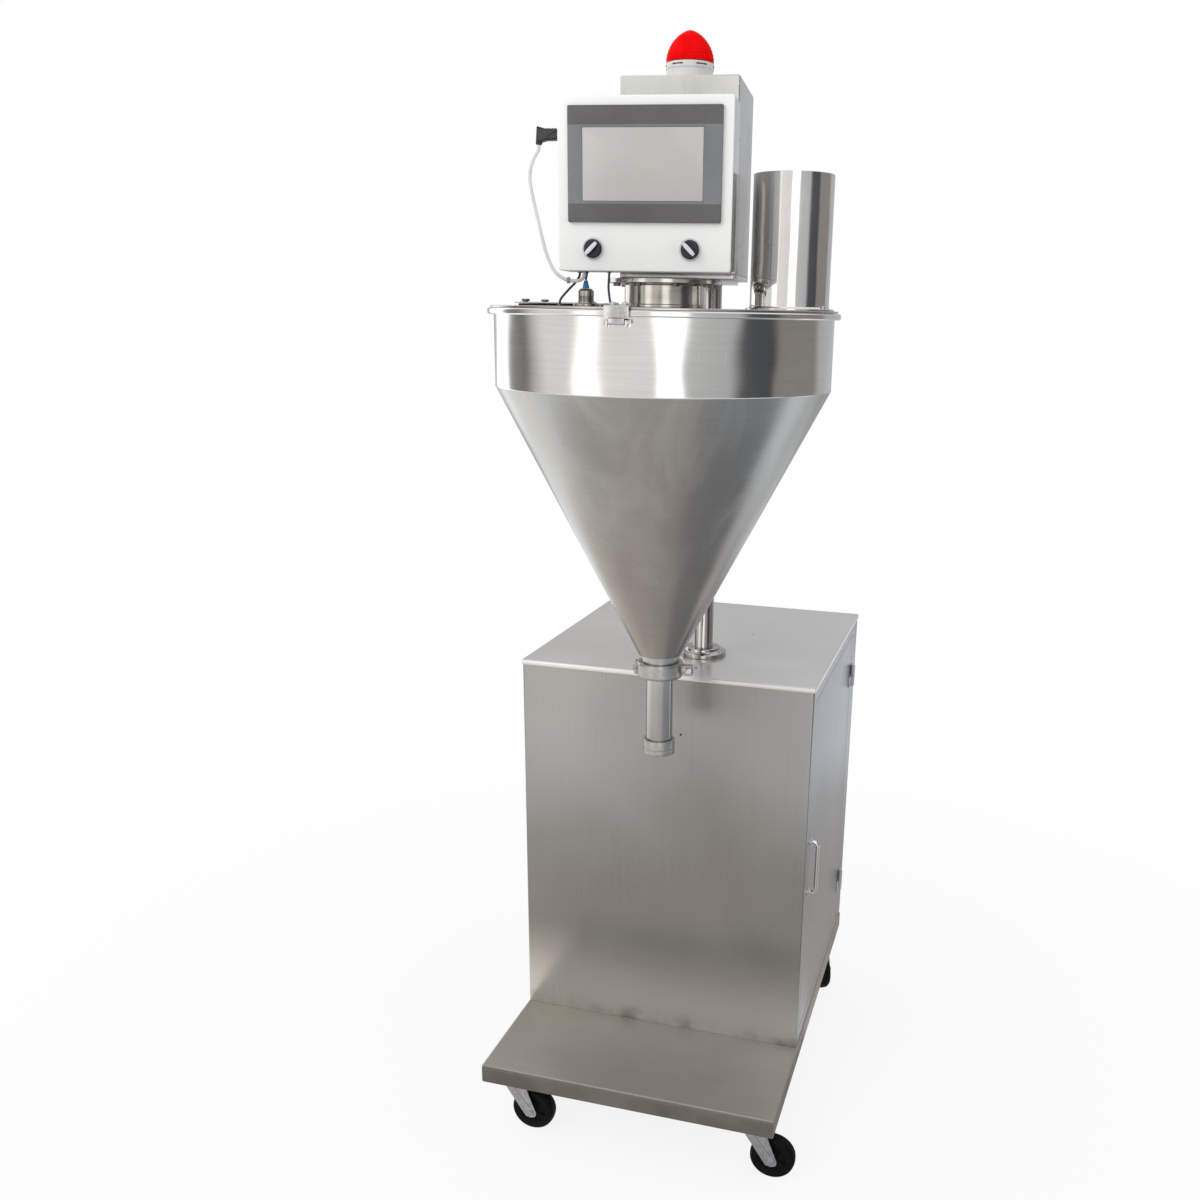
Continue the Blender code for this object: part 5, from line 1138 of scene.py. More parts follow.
    # back panel on screws, with the mains gland
    sheet, half = cabinet["panelSheet"], cabinet["louvreHalf"]
    form = bmesh.new()
    panel = [(low.x, foot), (right, foot), (right, panelHigh.z), (low.x, panelHigh.z)]
    joinForm(form, plateForm(panel, 0, sheet, 0.003), Matrix.Translation((0, panelLow.y + 0.0014, 0)) @ standUp)
    lowScrews, highScrews = foot + 0.013, panelHigh.z - 0.013
    spots = [(x, z) for x in (-0.236, 0.236) for z in (lowScrews, foot + 0.22, foot + 0.43, highScrews)]
    for x, z in spots + [(0, lowScrews), (0, highScrews)]:
        roundHead(form, 0.0040, 0.0022, (x, panelLow.y + sheet, z), "Y")
    # pressed louvres, with their backs inside the sheet
    for x in (-0.075, 0.075):
        for row in range(cabinet["louvres"]):
            slat = bmesh.new()
            lathe(slat, [(0, -half), (0.0055, -half, 0.003), (0.0055, half, 0.003), (0, half)], 24, (0, 0, 0), "X")
            for vert in slat.verts:
                vert.co.y = max(vert.co.y, -0.0008)
            z = panelHigh.z - 0.120 - row * cabinet["louvreStep"]
            joinForm(form, slat, Matrix.Translation((x, panelLow.y + 0.0009, z)) @ Matrix.Diagonal((1, 0.45, 1, 1)))
    addPiece("backPanel", form, machineFrame, "machine", backSteel, ["back_panel"])
    glandAt = Vector((-0.150, panelLow.y, trayTop + 0.070))
    length = panelHigh.y - panelLow.y
    form = bmesh.new()
    other = bmesh.new()
    lathe(other, [(0.0050, 0), (0.0098, 0, 0.0006), (0.0098, 0.0055, 0.0006), (0.0078, 0.0060), (0.0078, 0.0078),
                  (0.0092, 0.0080, 0.0006), (0.0088, length - 0.0040, 0.0030), (0.0062, length - 0.0004, 0.0012),
                  (0.0050, length - 0.0004)], 48, (0, 0, 0), "Y")
    for index in range(18):
        turn = Matrix.Rotation(2 * math.pi * index / 18, 4, "Y")
        roundedBlock(other, (-0.0006, 0.0090, 0.0086), (0.0006, length - 0.0050, 0.0096), 0.0003, 1, turn)
    joinForm(form, other, Matrix.Translation(glandAt))
    addPiece("mainsGland", form, machineFrame, "machine", blackPlastic)


buildCabinet()
print("cabinet built")

# column

column = {"radius": 0.017, "wall": 0.002, "crown": 0.003, "footHigh": 0.010, "bolt": 0.0055, "boltCircle": 0.032,
          "screw": 0.0030, "screwCircle": 0.0355, "slit": 0.002, "clampBolt": 0.0036, "boltBehind": 0.038}


def buildColumn():
    low, high = localBox("column", machineFrame)
    tubeLow, tubeHigh = localBox("column_collar", machineFrame)
    clampLow, clampHigh = localBox("column_clamp", machineFrame)
    at = (low + high) / 2
    radius, inner = column["radius"], column["radius"] - column["wall"]
    foot, footTop = (high.x - low.x) / 2, low.z + column["footHigh"]
    form = bmesh.new()
    lathe(form, [(0, high.z), (radius, high.z, column["crown"]), (radius, footTop, 0.002), (foot, footTop, 0.0012),
                 (foot, low.z, 0.0006), (inner, low.z), (inner, high.z - 0.004), (0, high.z - 0.004)], 72,
          (at.x, at.y, 0))
    for turn in (45, 135, 225, 315):
        hexHead(form, column["bolt"], 0.0040, around(at, column["boltCircle"], turn, footTop - 0.0002), "Z",
                math.radians(turn))
    addPiece("columnTube", form, machineFrame, "machine", tubeSteel, ["column"])

    collar = (tubeHigh.x - tubeLow.x) / 2
    bore = radius + 0.0003
    form = bmesh.new()
    lathe(form, [(bore, tubeLow.z), (collar, tubeLow.z, 0.0008), (collar, tubeLow.z + 0.0070, 0.0018),
                 (0.0300, tubeLow.z + 0.0085, 0.003), (0.0290, tubeHigh.z, 0.0016), (bore + 0.0010, tubeHigh.z, 0.0006),
                 (bore, tubeHigh.z - 0.001)], 72, (at.x, at.y, 0))
    for turn in (100, 220, 340):
        roundHead(form, column["screw"], 0.0016, around(at, column["screwCircle"], turn, tubeLow.z + 0.0068))
    addPiece("columnCollar", form, machineFrame, "machine", tubeSteel, ["column_collar"])

    form = bmesh.new()
    outer = (clampHigh.x - clampLow.x) / 2
    half, bolt = column["slit"] / 2, column["clampBolt"]
    boltY, boltZ = at.y + column["boltBehind"], (clampLow.z + clampHigh.z) / 2
    lathe(form, [(bore, clampLow.z), (outer, clampLow.z, 0.0012), (outer, clampHigh.z, 0.0012), (bore, clampHigh.z)],
          72,
          (at.x, at.y, 0))
    form = cutAway(form, [cubeForm((at.x - half, at.y, clampLow.z - 0.01), (at.x + half, at.y + 0.06,
                                                                            clampHigh.z + 0.01))])
    for sign in (-1, 1):
        ear = sorted((sign * half, sign * 0.010))
        roundedBlock(form, (at.x + ear[0], at.y + 0.027, clampLow.z + 0.002),
                     (at.x + ear[1], at.y + 0.0455, clampHigh.z - 0.002), 0.0015, 3)
    lathe(form, [(0, -0.0135), (bolt, -0.0135), (bolt, 0.0135), (0, 0.0135)], 24, (at.x, boltY, boltZ), "X")
    hexHead(form, 0.0068, 0.0050, (at.x + 0.0098, boltY, boltZ), "X")
    lathe(form, [(0, 0), (0.0066, 0, 0.0008), (0.0066, 0.0052, 0.0012), (0, 0.0052)], 32,
          (at.x - 0.0150, boltY, boltZ), "X")
    addPiece("columnClamp", form, machineFrame, "machine", castAluminium, ["column_clamp"])


# hopper

hopper = {"radius": 0.2317, "rim": 0.0083, "sheet": 0.002, "band": 0.102, "cone": 0.386, "outlet": 0.0323,
          "neck": 0.0275,
          "lip": 0.0305, "bore": 0.0185, "weld": 0.0006, "seam": 0.0009, "seamSide": 0.02, "steps": 144}
clipNames = ("front", "right", "left")


def clipPlace(name):
    # a clip's pivot, its distance from the hopper's middle and the turn that faces it
    at = hopperFrame.inverted() @ Vector(joints["latch_hinge_" + name]["pos_m"])
    return at, math.hypot(at.x, at.y), Matrix.Rotation(math.atan2(at.y, at.x), 4, "Z")


def buildHopper():
    low, high = localBox("hopper", hopperFrame)
    joint, rimTop = low.z - 0.0003, high.z               # the clamped joint below the outlet, and the top
    radius, sheet, steps = hopper["radius"], hopper["sheet"], hopper["steps"]
    rim = radius + hopper["rim"]
    bend = rimTop - hopper["band"]
    coneFoot = bend - hopper["cone"]
    outlet, neck, lip, bore = (hopper[key] for key in ("outlet", "neck", "lip", "bore"))
    form = bmesh.new()
    # rim: flange turned out and rolled down over a bead
    lathe(form, [
        (rim, rimTop, 0.0030), (rim, rimTop - 0.0080, 0.0030), (radius + 0.0036, rimTop - 0.0080, 0.0012),
        (radius + 0.0030, rimTop - 0.0040, 0.0010), (radius, rimTop - 0.0048, 0.0024), (radius, bend, 0.0030),
        (outlet, coneFoot, 0.004), (outlet, coneFoot - 0.0006), (neck, coneFoot - 0.0006, 0.0010),
        (neck, joint + 0.0042, 0.0008), (lip, joint + 0.0036, 0.0006), (lip, low.z, 0.0004), (bore, low.z),
        (bore, coneFoot), (outlet - sheet, coneFoot + 0.002), (radius - sheet, bend),
        (radius - sheet, rimTop - 0.0030, 0.0028), (radius + 0.0030, rimTop)], steps, fillets=5)
    # weld where the cone meets the band, and the seam down the back
    ring = [around(Vector(), radius - 0.0002, 360 * i / steps, bend + 0.0006) for i in range(steps)]
    pipe(form, ring, hopper["weld"], 8, True)
    seamTop = Vector((hopper["seamSide"], radius - 0.0004, rimTop - 0.010))
    seamBend = Vector((hopper["seamSide"], radius - 0.0004, bend + 0.001))
    coneTop = Vector((hopper["seamSide"], radius - 0.0006, bend))
    coneEnd = Vector((0.003, outlet - 0.0003, coneFoot + 0.004))
    pipe(form, [seamTop.lerp(seamBend, i / 12) for i in range(13)] + [coneTop.lerp(coneEnd, i / 24) for i in range(25)],
         hopper["seam"], 8)
    # ears and pins of the three clips
    for name in clipNames:
        at, reach, turn = clipPlace(name)
        for sign in (-1, 1):
            ear = sorted((sign * 0.0103, sign * 0.0138))
            roundedBlock(form, (radius - 0.0012, ear[0], at.z - 0.0058), (reach + 0.0020, ear[1], at.z + 0.0031),
                         0.0012, 3,
                         turn)
        pin = bmesh.new()
        lathe(pin, [(0, -0.0160), (0.0026, -0.0160, 0.0010), (0.0026, -0.0138), (0.0012, -0.0138), (0.0012, 0.0138),
                    (0.0026, 0.0138), (0.0026, 0.0160, 0.0010), (0, 0.0160)], 24, (reach, 0, at.z), "Y")
        joinForm(form, pin, turn)
    addPiece("hopperBody", form, hopperFrame, "machine", [bandSteel, coneSteel], ["hopper"],
             smooth=28, pick=lambda centre: int(centre.z <= bend + 0.0002))


clip = {"sheet": 0.002, "head": 0.0042, "headHigh": 0.0035, "headApart": 0.0075, "reach": 0.0265, "knuckle": 0.0030,
        "knuckleHalf": 0.0099}


def buildClip(name):
    # a bent strap with two round heads; it swings on a knuckle between the hopper's ears
    at, reach, turn = clipPlace(name)
    place = hopperFrame @ turn
    low, high = localBox("lid_latch_" + name, place)
    outer, sheet = high.x, clip["sheet"]
    strap, inwards = high.z - clip["headHigh"], high.x - clip["reach"]
    half, wide = (high.y - low.y) / 2, clip["knuckleHalf"]
    form = bmesh.new()
    # strap section in (outwards, up): up the outside, over the edge, in along the lid
    section = roundedLine([(outer - sheet, at.z + 0.0045), (outer, at.z + 0.0045), (outer, strap, 0.0028),
                           (inwards, strap, 0.0006), (inwards, strap - sheet, 0.0006),
                           (outer - sheet, strap - sheet, 0.0008)], 6)
    other = bmesh.new()
    ring = [other.verts.new((x, -half, z)) for x, z in section]
    face = other.faces.new(ring)
    extrude(other, face, (0, 2 * half, 0))
    sides = [edge for edge in other.edges if abs(edge.verts[0].co.y - edge.verts[1].co.y) < 1e-7 and
             abs(edge.calc_face_angle(0)) > 0.7]
    bevelEdges(other, sides, 0.0005)
    joinForm(form, other)
    roundedBlock(form, (outer - sheet, -0.0097, at.z - 0.0005), (outer, 0.0097, at.z + 0.0062), 0.0006)
    lathe(form, [(0.0014, -wide), (clip["knuckle"], -wide, 0.0004), (clip["knuckle"], wide, 0.0004), (0.0014, wide)],
          24,
          (reach, 0, at.z), "Y")
    for y in (-clip["headApart"], clip["headApart"]):
        roundHead(form, clip["head"], 0.0034, (outer - 0.0135, y, strap))
    addPiece("lidClip_" + name, form, place, "latch_" + name, boltSteel, ["lid_latch_" + name])


# lid, hatch, feed tube and level sensor

lid = {"edge": 0.0012, "neckHole": 0.0180, "feedHole": 0.0525, "sensorHole": 0.0055, "knuckle": 0.0032,
       "knuckleWide": 0.016,
       "knuckles": (0.030, 0.130)}


def hatchLine(low, high, inset, steps):
    # the hatch's outline: an arc along the lid's edge and two straight sides, drawn in by a distance
    chord, front, arc = high.x - inset, low.y + inset, -low.x - inset
    start, stop = math.acos(-chord / arc), math.asin(front / arc)
    turns = [stop + (start - stop) * i / steps for i in range(steps + 1)]
    return [(-arc * math.cos(turn), arc * math.sin(turn)) for turn in turns] + [(chord, front)]


def buildLid():
    low, high = localBox("hopper_lid", hopperFrame)
    feedLow, feedHigh = localBox("feed_inlet_tube", hopperFrame)
    gasketLow, gasketHigh = localBox("hatch_gasket", hopperFrame)
    sensorLow, sensorHigh = localBox("level_sensor", headFrame)
    radius = high.x
    deck = low.z + 0.003
    feedAt = (feedLow + feedHigh) / 2
    form = bmesh.new()
    lathe(form, [(lid["neckHole"], low.z), (radius, low.z, 0.0006), (radius, deck, lid["edge"]),
                 (lid["neckHole"], deck)], 144)
    middle = (sensorLow + sensorHigh) / 2
    sensorHere = hopperFrame.inverted() @ headFrame @ Vector((middle.x, middle.y, 0))
    # the hatch's hole follows the gasket, ten millimetres inside it
    hole = plateForm(hatchLine(gasketLow, gasketHigh, 0.010, 24), deck - 0.02, deck + 0.02, 0, 0.0001)
    form = cutAway(form, [rodForm(lid["feedHole"], (feedAt.x, feedAt.y, deck - 0.02), 0.04, steps=96),
                          rodForm(lid["sensorHole"], (sensorHere.x, sensorHere.y, deck - 0.02), 0.04, steps=32), hole])
    # fixed knuckles of the hatch
    hinge = hopperFrame.inverted() @ Vector(joints["hatch_hinge"]["pos_m"])
    knuckle, wide = lid["knuckle"], lid["knuckleWide"]
    for middleY in lid["knuckles"]:
        lathe(form, [(0, 0), (knuckle, 0, 0.0004), (knuckle, wide, 0.0004), (0, wide)], 24,
              (hinge.x, middleY + 0.0003, hinge.z), "Y")
        roundedBlock(form, (hinge.x - 0.0018, middleY + 0.0003, deck - 0.0005),
                     (hinge.x + 0.0100, middleY + 0.0163, hinge.z - 0.0012), 0.0006)
    addPiece("hopperLid", form, hopperFrame, "machine", lidSteel, ["hopper_lid"])

    # hatch cover with a raised panel, knuckles and two grip knobs
    coverTop = localBox("hatch_cover", hopperFrame)[1].z
    plate = gasketHigh.z + 0.0003
    outline = hatchLine(gasketLow, gasketHigh, 0, 40)
    form = plateForm(outline, plate, plate + 0.0016, 0, 0.0005)
    inner = [(x * 0.94 - 0.008, y * 0.90 + 0.006) for x, y in outline]
    joinForm(form, plateForm(inner, plate + 0.0010, plate + 0.0021, 0, 0.0005))
    for middleY in lid["knuckles"]:
        lathe(form, [(0, -wide), (knuckle, -wide, 0.0004), (knuckle, 0, 0.0004), (0, 0)], 24,
              (hinge.x, middleY, hinge.z), "Y")
        roundedBlock(form, (hinge.x - 0.012, middleY - wide, plate + 0.0004),
                     (hinge.x - 0.0004, middleY, plate + 0.0019), 0.0005)
        for dy in (-0.012, -0.004):
            roundHead(form, 0.0020, 0.0010, (hinge.x - 0.009, middleY + dy, plate + 0.0018))
    addPiece("hatchCover", form, hopperFrame, "hatch", lidSteel, ["hatch_cover"])
    form = bmesh.new()
    for turn in (168, 186):
        place = around(Vector((0, 0.012)), -gasketLow.x - 0.012, turn, 0)
        lathe(form, [(0, plate + 0.0014), (0.0040, plate + 0.0014), (0.0036, plate + 0.0026, 0.0006),
                     (0.0058, plate + 0.0034, 0.0006),
                     (0.0058, coverTop, 0.0012), (0, coverTop)], 32, place)
    addPiece("hatchKnobs", form, hopperFrame, "hatch", darkSteel)

    # hatch gasket: a hollow bulb strip with a lip
    loop = [Vector((x, y, (gasketLow.z + gasketHigh.z) / 2)) for x, y in hatchLine(gasketLow, gasketHigh, 0.005, 90)]
    dense = []
    for a, b in zip(loop, loop[1:] + loop[:1]):
        pieces = max(1, int((b - a).length / 0.006))
        dense += [a.lerp(b, i / pieces) for i in range(pieces)]
    form = bmesh.new()
    pipe(form, dense, (gasketHigh.z - gasketLow.z) / 2 - 0.00005, 12, True)
    addPiece("hatchGasket", form, hopperFrame, "machine", gasketRubber, ["hatch_gasket"])


def buildFeedTube():
    low, high = localBox("feed_inlet_tube", hopperFrame)
    at = (low + high) / 2
    flange = (high.x - low.x) / 2
    radius = flange - 0.006
    bore = radius - 0.0015
    form = bmesh.new()
    lathe(form, [(bore, low.z), (flange, low.z, 0.0006), (flange, low.z + 0.0024, 0.0008),
                 (radius + 0.0016, low.z + 0.0024, 0.0010),
                 (radius, low.z + 0.0044, 0.0014), (radius, high.z, 0.0006), (bore, high.z, 0.0006)], 144,
                 (at.x, at.y, 0))
    # seam weld of the rolled tube
    seamTurn = math.degrees(2.3)
    seam = [around(at, radius, seamTurn, low.z + 0.004 + (high.z - low.z - 0.006) * i / 20) for i in range(21)]
    pipe(form, seam, 0.0005, 8)
    addPiece("feedTube", form, hopperFrame, "machine", brightSteel, ["feed_inlet_tube"],
             smooth=30)
    form = bmesh.new()
    for turn in (220, 333, 100):
        hexHead(form, 0.0028, 0.0022, around(at, flange - 0.0030, turn, low.z + 0.0023), "Z", math.radians(turn),
                0.0022)
    addPiece("feedNuts", form, hopperFrame, "machine", boltSteel)


def buildSensor():
    low, high = localBox("level_sensor", headFrame)
    bootLow, bootHigh = localBox("sensor_boot", headFrame)
    lidLow = localBox("hopper_lid", hopperFrame)[0]
    at = (low + high) / 2
    base = (high.x - low.x) / 2
    deck = lidLow.z + 0.003 + 0.0003
    form = bmesh.new()
    lathe(form, [(0, low.z), (0.0038, low.z, 0.002), (0.0040, deck), (base, deck, 0.0004),
                 (base, deck + 0.0036, 0.0008),
                 (0.0112, deck + 0.0040, 0.0004), (0.0112, deck + 0.0060, 0.0004), (0.0102, deck + 0.0064),
                 (0.0102, deck + 0.0128),
                 (0.0105, deck + 0.0130, 0.0004), (0.0105, high.z - 0.0030, 0.0008), (0.0088, high.z - 0.0014, 0.0006),
                 (0.0074, high.z, 0.0006), (0, high.z)], 60, (at.x, at.y, 0))
    for index in range(9):
        z = deck + 0.0068 + index * 0.00068
        lathe(form, [(0.0100, z), (0.01045, z + 0.00032), (0.0100, z + 0.00064)], 48, (at.x, at.y, 0))
    for turn in (35, 155, 275):
        roundHead(form, 0.0021, 0.0012, around(at, 0.0138, turn, deck + 0.0036))
    addPiece("levelSensor", form, headFrame, "machine", turnedSteel, ["level_sensor"])
    form = bmesh.new()
    rings = [(0, bootLow.z), (0.0045, bootLow.z, 0.0006), (0.0045, bootLow.z + 0.0016, 0.0004)]
    for index in range(4):
        z = bootLow.z + 0.0020 + index * 0.0018
        size = 0.0042 - index * 0.00038
        rings += [(size, z, 0.0003), (size, z + 0.0009, 0.0003), (size - 0.0006, z + 0.0012)]
    rings += [(0.0023, bootHigh.z, 0.0004), (0, bootHigh.z)]
    lathe(form, rings, 40, (at.x, at.y, 0), fillets=3)
    addPiece("sensorBoot", form, headFrame, "machine", bluePlastic, ["sensor_boot"])


buildColumn()
buildHopper()
for name in clipNames:
    buildClip(name)
buildLid()
buildFeedTube()
buildSensor()
print("column, hopper and lid built")

# clamp, auger tube and nozzle

clamp = {"outer": 0.034, "neck": 0.0279, "lip": 0.0309, "groove": 0.0040, "split": 0.0006}
nozzle = {"radius": 0.020, "bore": 0.0185, "lip": 0.0305, "edge": 0.0008}


def halfRing(form, profile, sign, split, steps=48):
    # half of a turned ring, on one side of the plane across the clamp
    line = roundedLine(profile, 4)
    other = bmesh.new()
    rings = []
    for radius, height in line:
        edge = math.asin(min(1.0, split / radius))
        rings.append([other.verts.new((radius * math.cos(edge + (math.pi - 2 * edge) * i / steps),
                                       sign * radius * math.sin(edge + (math.pi - 2 * edge) * i / steps), height))
                      for i in range(steps + 1)])
    for low, high in zip(rings, rings[1:] + rings[:1]):
        for i in range(steps):
            other.faces.new((low[i], low[i + 1], high[i + 1], high[i]))
    other.faces.new([ring[0] for ring in rings])
    other.faces.new([ring[-1] for ring in rings][::-1])
    bmesh.ops.recalc_face_normals(other, faces=other.faces)
    joinForm(form, other)


def buildTubeClamp():
    frontLow, frontHigh = localBox("tube_clamp_front", headFrame)
    nutPlace = headFrame.inverted() @ Vector(joints["wing_nut_turn"]["pos_m"])
    low, high = frontLow.z, frontHigh.z
    joint = (low + high) / 2
    outer, neck, lip, groove = (clamp[key] for key in ("outer", "neck", "lip", "groove"))
    section = [(outer - 0.0010, high, 0.0010), (outer, high - 0.0034, 0.0016), (outer, low + 0.0034, 0.0016),
               (outer - 0.0010, low, 0.0010),
               (neck, low, 0.0005), (neck, joint - groove), (lip, joint - groove), (lip, joint + groove),
               (neck, joint + groove),
               (neck, high, 0.0005)]
    for name, sign in (("front", -1), ("rear", 1)):
        form = bmesh.new()
        halfRing(form, section, sign, clamp["split"])
        # lug for the bolt, forked, and the hinge knuckle opposite
        ear = sorted((sign * 0.0007, sign * 0.0064))
        for a, b in ((low + 0.0040, joint - 0.0034), (joint + 0.0034, high - 0.0040)):
            roundedBlock(form, (outer - 0.003, ear[0], a), (outer + 0.0158, ear[1], b), 0.0014, 3)
        roundedBlock(form, (outer - 0.003, ear[0], joint - 0.0042), (outer + 0.0066, ear[1], joint + 0.0042), 0.0010)
        knuckle = sorted((sign * 0.0007, sign * 0.0047)) if sign > 0 else ear
        thirds = [(low + 0.0012, joint - 0.0040), (joint + 0.0040, high - 0.0012)] if sign > 0 else [(joint - 0.0036,
                                                                                                      joint + 0.0036)]
        for a, b in thirds:
            roundedBlock(form, (-outer - 0.0064, knuckle[0], a), (0.003 - outer, knuckle[1], b), 0.0010)
        if sign < 0:
            roundedBlock(form, (-outer - 0.0040, ear[0], low + 0.0015), (0.003 - outer, ear[1], high - 0.0015), 0.0012)
        addPiece("tubeClamp_" + name, form, headFrame, "machine", castSteel, ["tube_clamp_" + name])
    form = bmesh.new()
    lathe(form, [(0, low + 0.0006), (0.0024, low + 0.0006, 0.0006), (0.0024, high - 0.0006, 0.0006),
                 (0, high - 0.0006)], 20,
          (-outer - 0.0040, 0.0024, 0))
    addPiece("clampPin", form, headFrame, "machine", boltSteel)

    # swing bolt with a wing nut: two ears that sweep up from the hub
    place = headFrame @ Matrix.Translation((nutPlace.x, 0, joint))
    nutLow, nutHigh = localBox("clamp_wing_nut", place)
    form = bmesh.new()
    lathe(form, [(0, nutLow.y), (0.0046, nutLow.y, 0.0008), (0.0051, nutLow.y + 0.0016, 0.0008),
                 (0.0030, nutLow.y + 0.0027),
                 (0.0029, nutHigh.y - 0.0008, 0.0006), (0, nutHigh.y)], 32, (0, 0, 0), "Y")
    lathe(form, [(0.0029, 0.0068), (0.0057, 0.0068, 0.0006), (0.0050, 0.0118, 0.0010), (0.0040, 0.0126, 0.0006),
                 (0.0029, 0.0126)],
          32, (0, 0, 0), "Y")
    for sign in (-1, 1):
        wing = [(sign * x, y) for x, y in ((0.0030, 0.0078), (0.0062, 0.0086), (0.0100, 0.0120), (0.0104, 0.0158),
                                            (0.0078, 0.0164), (0.0056, 0.0128), (0.0030, 0.0118))]
        joinForm(form, plateForm(wing, -0.00125, 0.00125, 0.0012, 0.0005))
    addPiece("wingNut", form, place, "wing_nut", boltSteel, ["clamp_wing_nut"])


def buildAugerTube():
    low, high = localBox("auger_tube", headFrame)
    collarLow, collarHigh = localBox("tube_end_collar", headFrame)
    radius, bore, lip, edge = (nozzle[key] for key in ("radius", "bore", "lip", "edge"))
    form = bmesh.new()
    lathe(form, [(bore, low.z, 0.0003), (radius, low.z, 0.0003), (radius, high.z - 0.0036, 0.0016),
                 (lip, high.z - 0.0036, 0.0005),
                 (lip, high.z, 0.0005), (bore, high.z)], 96)
    seamTurn = math.degrees(1.9)
    seam = [around(Vector(), radius, seamTurn, low.z + 0.024 + (high.z - low.z - 0.030) * i / 16) for i in range(17)]
    pipe(form, seam, 0.0004, 6)
    addPiece("augerTube", form, headFrame, "machine", augerSteel, ["auger_tube"], smooth=30)
    outer = collarHigh.x
    form = bmesh.new()
    lathe(form, [(bore, collarLow.z, 0.0004), (outer, collarLow.z, edge), (outer, collarLow.z + 0.0066, 0.0004),
                 (outer - 0.0006, collarLow.z + 0.0072), (outer - 0.0006, collarLow.z + 0.0080),
                 (outer, collarLow.z + 0.0086, 0.0004),
                 (outer, collarHigh.z, edge), (radius + 0.0003, collarHigh.z, 0.0004),
                 (radius + 0.0003, collarLow.z + 0.002), (bore, collarLow.z + 0.002)], 96)
    for degrees in (262, 82, 172, 352):
        turn = math.radians(degrees)
        spot = Matrix.Rotation(turn, 4, "Z") @ Matrix.Translation((outer - 0.0003, 0, collarLow.z + 0.0155))
        screw = bmesh.new()
        lathe(screw, [(0.0009, -0.0002), (0.0020, -0.0002), (0.0020, 0.00025, 0.0001), (0.0009, 0.00025)], 20,
              (0, 0, 0), "X")
        joinForm(form, screw, spot)
    addPiece("endCollar", form, headFrame, "machine", castSteel, ["tube_end_collar"])


# head: neck, plate, housing, operator box and beacon

head = {"fold": 0.0026, "boxFold": 0.0034, "boxRim": 0.0016, "sheet": 0.0015, "seamZ": 1.430, "neck": 0.0555,
        "bore": 0.0163,
        "boltCircle": 0.0665, "bolt": 0.0052, "washer": 0.0060, "columnHole": 0.0173,
        "plugs": [(-0.042, 1.5685), (-0.0376, 1.454), (-0.007, 1.441)]}


def buildNeck():
    low, high = localBox("bearing_housing", headFrame)
    flange, flangeZ = high.x, high.z - 0.006
    neck, bore, washer = head["neck"], head["bore"], head["washer"]
    form = bmesh.new()
    lathe(form, [(bore, low.z), (neck + 0.0005, low.z, 0.0008), (neck + 0.0005, low.z + 0.0040, 0.0006),
                 (neck - 0.0006, low.z + 0.0048),
                 (neck - 0.0006, flangeZ - 0.0016, 0.0016), (flange, flangeZ, 0.0008), (flange, high.z, 0.0008),
                 (bore, high.z)], 96)
    addPiece("bearingNeck", form, headFrame, "machine", neckSteel, ["bearing_housing"])
    form = bmesh.new()
    for index in range(8):
        turn = 22.5 + 45 * index
        hexHead(form, head["bolt"], 0.0042, around(Vector(), head["boltCircle"], turn, flangeZ + 0.0002), "-Z",
                math.radians(turn))
        lathe(form, [(0, flangeZ - 0.0005), (washer, flangeZ - 0.0005, 0.0002), (washer, flangeZ + 0.0004),
                     (0, flangeZ + 0.0004)], 24, around(Vector(), head["boltCircle"], turn, 0))
    addPiece("neckBolts", form, headFrame, "machine", darkSteel)

    plateLow, plateHigh = localBox("head_plate", headFrame)
    boxLow, boxHigh = localBox("head_housing", headFrame)
    columnBox = localBox("column", machineFrame)
    centre = headFrame.inverted() @ machineFrame @ ((columnBox[0] + columnBox[1]) / 2)
    left, right, front, back = boxLow.x, boxHigh.x, boxLow.y, boxHigh.y
    half, behind = 0.038, plateHigh.y
    shape = [(left, front), (right, front), (right, back), (centre.x + half, back + 0.02), (centre.x + half, behind),
             (centre.x - half, behind), (centre.x - half, back + 0.02), (left, back)]
    form = plateForm(shape, plateLow.z, plateHigh.z, 0.003, 0.0006)
    form = cutAway(form, [rodForm(bore, (0, 0, plateLow.z - 0.01), 0.03),
                          rodForm(head["columnHole"], (centre.x, centre.y, plateLow.z - 0.01), 0.03)])
    addPiece("headPlate", form, headFrame, "machine", topSteel, ["head_plate"])


def buildHousing():
    low, high = localBox("head_housing", headFrame)
    form = bmesh.new()
    foldedSheet(form, low, high, ["-Z"], head["fold"], head["sheet"])
    passage = rodForm(0.014, (-0.0095, low.y - 0.01, low.z + 0.1032), 0.02, "Y")
    # the cover splits from its skirt along a fine seam on the sides and back
    seamZ = head["seamZ"]
    grooves = [cubeForm((left, front, seamZ - 0.0005), (right, high.y + 0.01, seamZ + 0.0005)) for left, right, front in
               ((low.x - 0.01, low.x + 0.0004, -0.031), (high.x - 0.0004, high.x + 0.01, -0.031),
                (low.x - 0.01, high.x + 0.01, high.y - 0.0004))]
    form = cutAway(form, [passage] + grooves)
    addPiece("headHousing", form, headFrame, "machine", housingSteel, ["head_housing"])
    form = bmesh.new()
    for y, z in head["plugs"]:
        for x, way in ((high.x, "X"), (low.x, "-X")):
            roundHead(form, 0.0019, 0.0010, (x, y, z), way)
    for x in (low.x + 0.020, high.x - 0.020):
        for z in (seamZ + 0.012, high.z - 0.018):
            roundHead(form, 0.0030, 0.0016, (x, high.y, z), "Y")
    for x in (low.x + 0.015, high.x - 0.015):
        for y in (low.y + 0.030, high.y - 0.015):
            roundHead(form, 0.0026, 0.0013, (x, y, high.z))
    addPiece("housingScrews", form, headFrame, "machine", boltSteel)


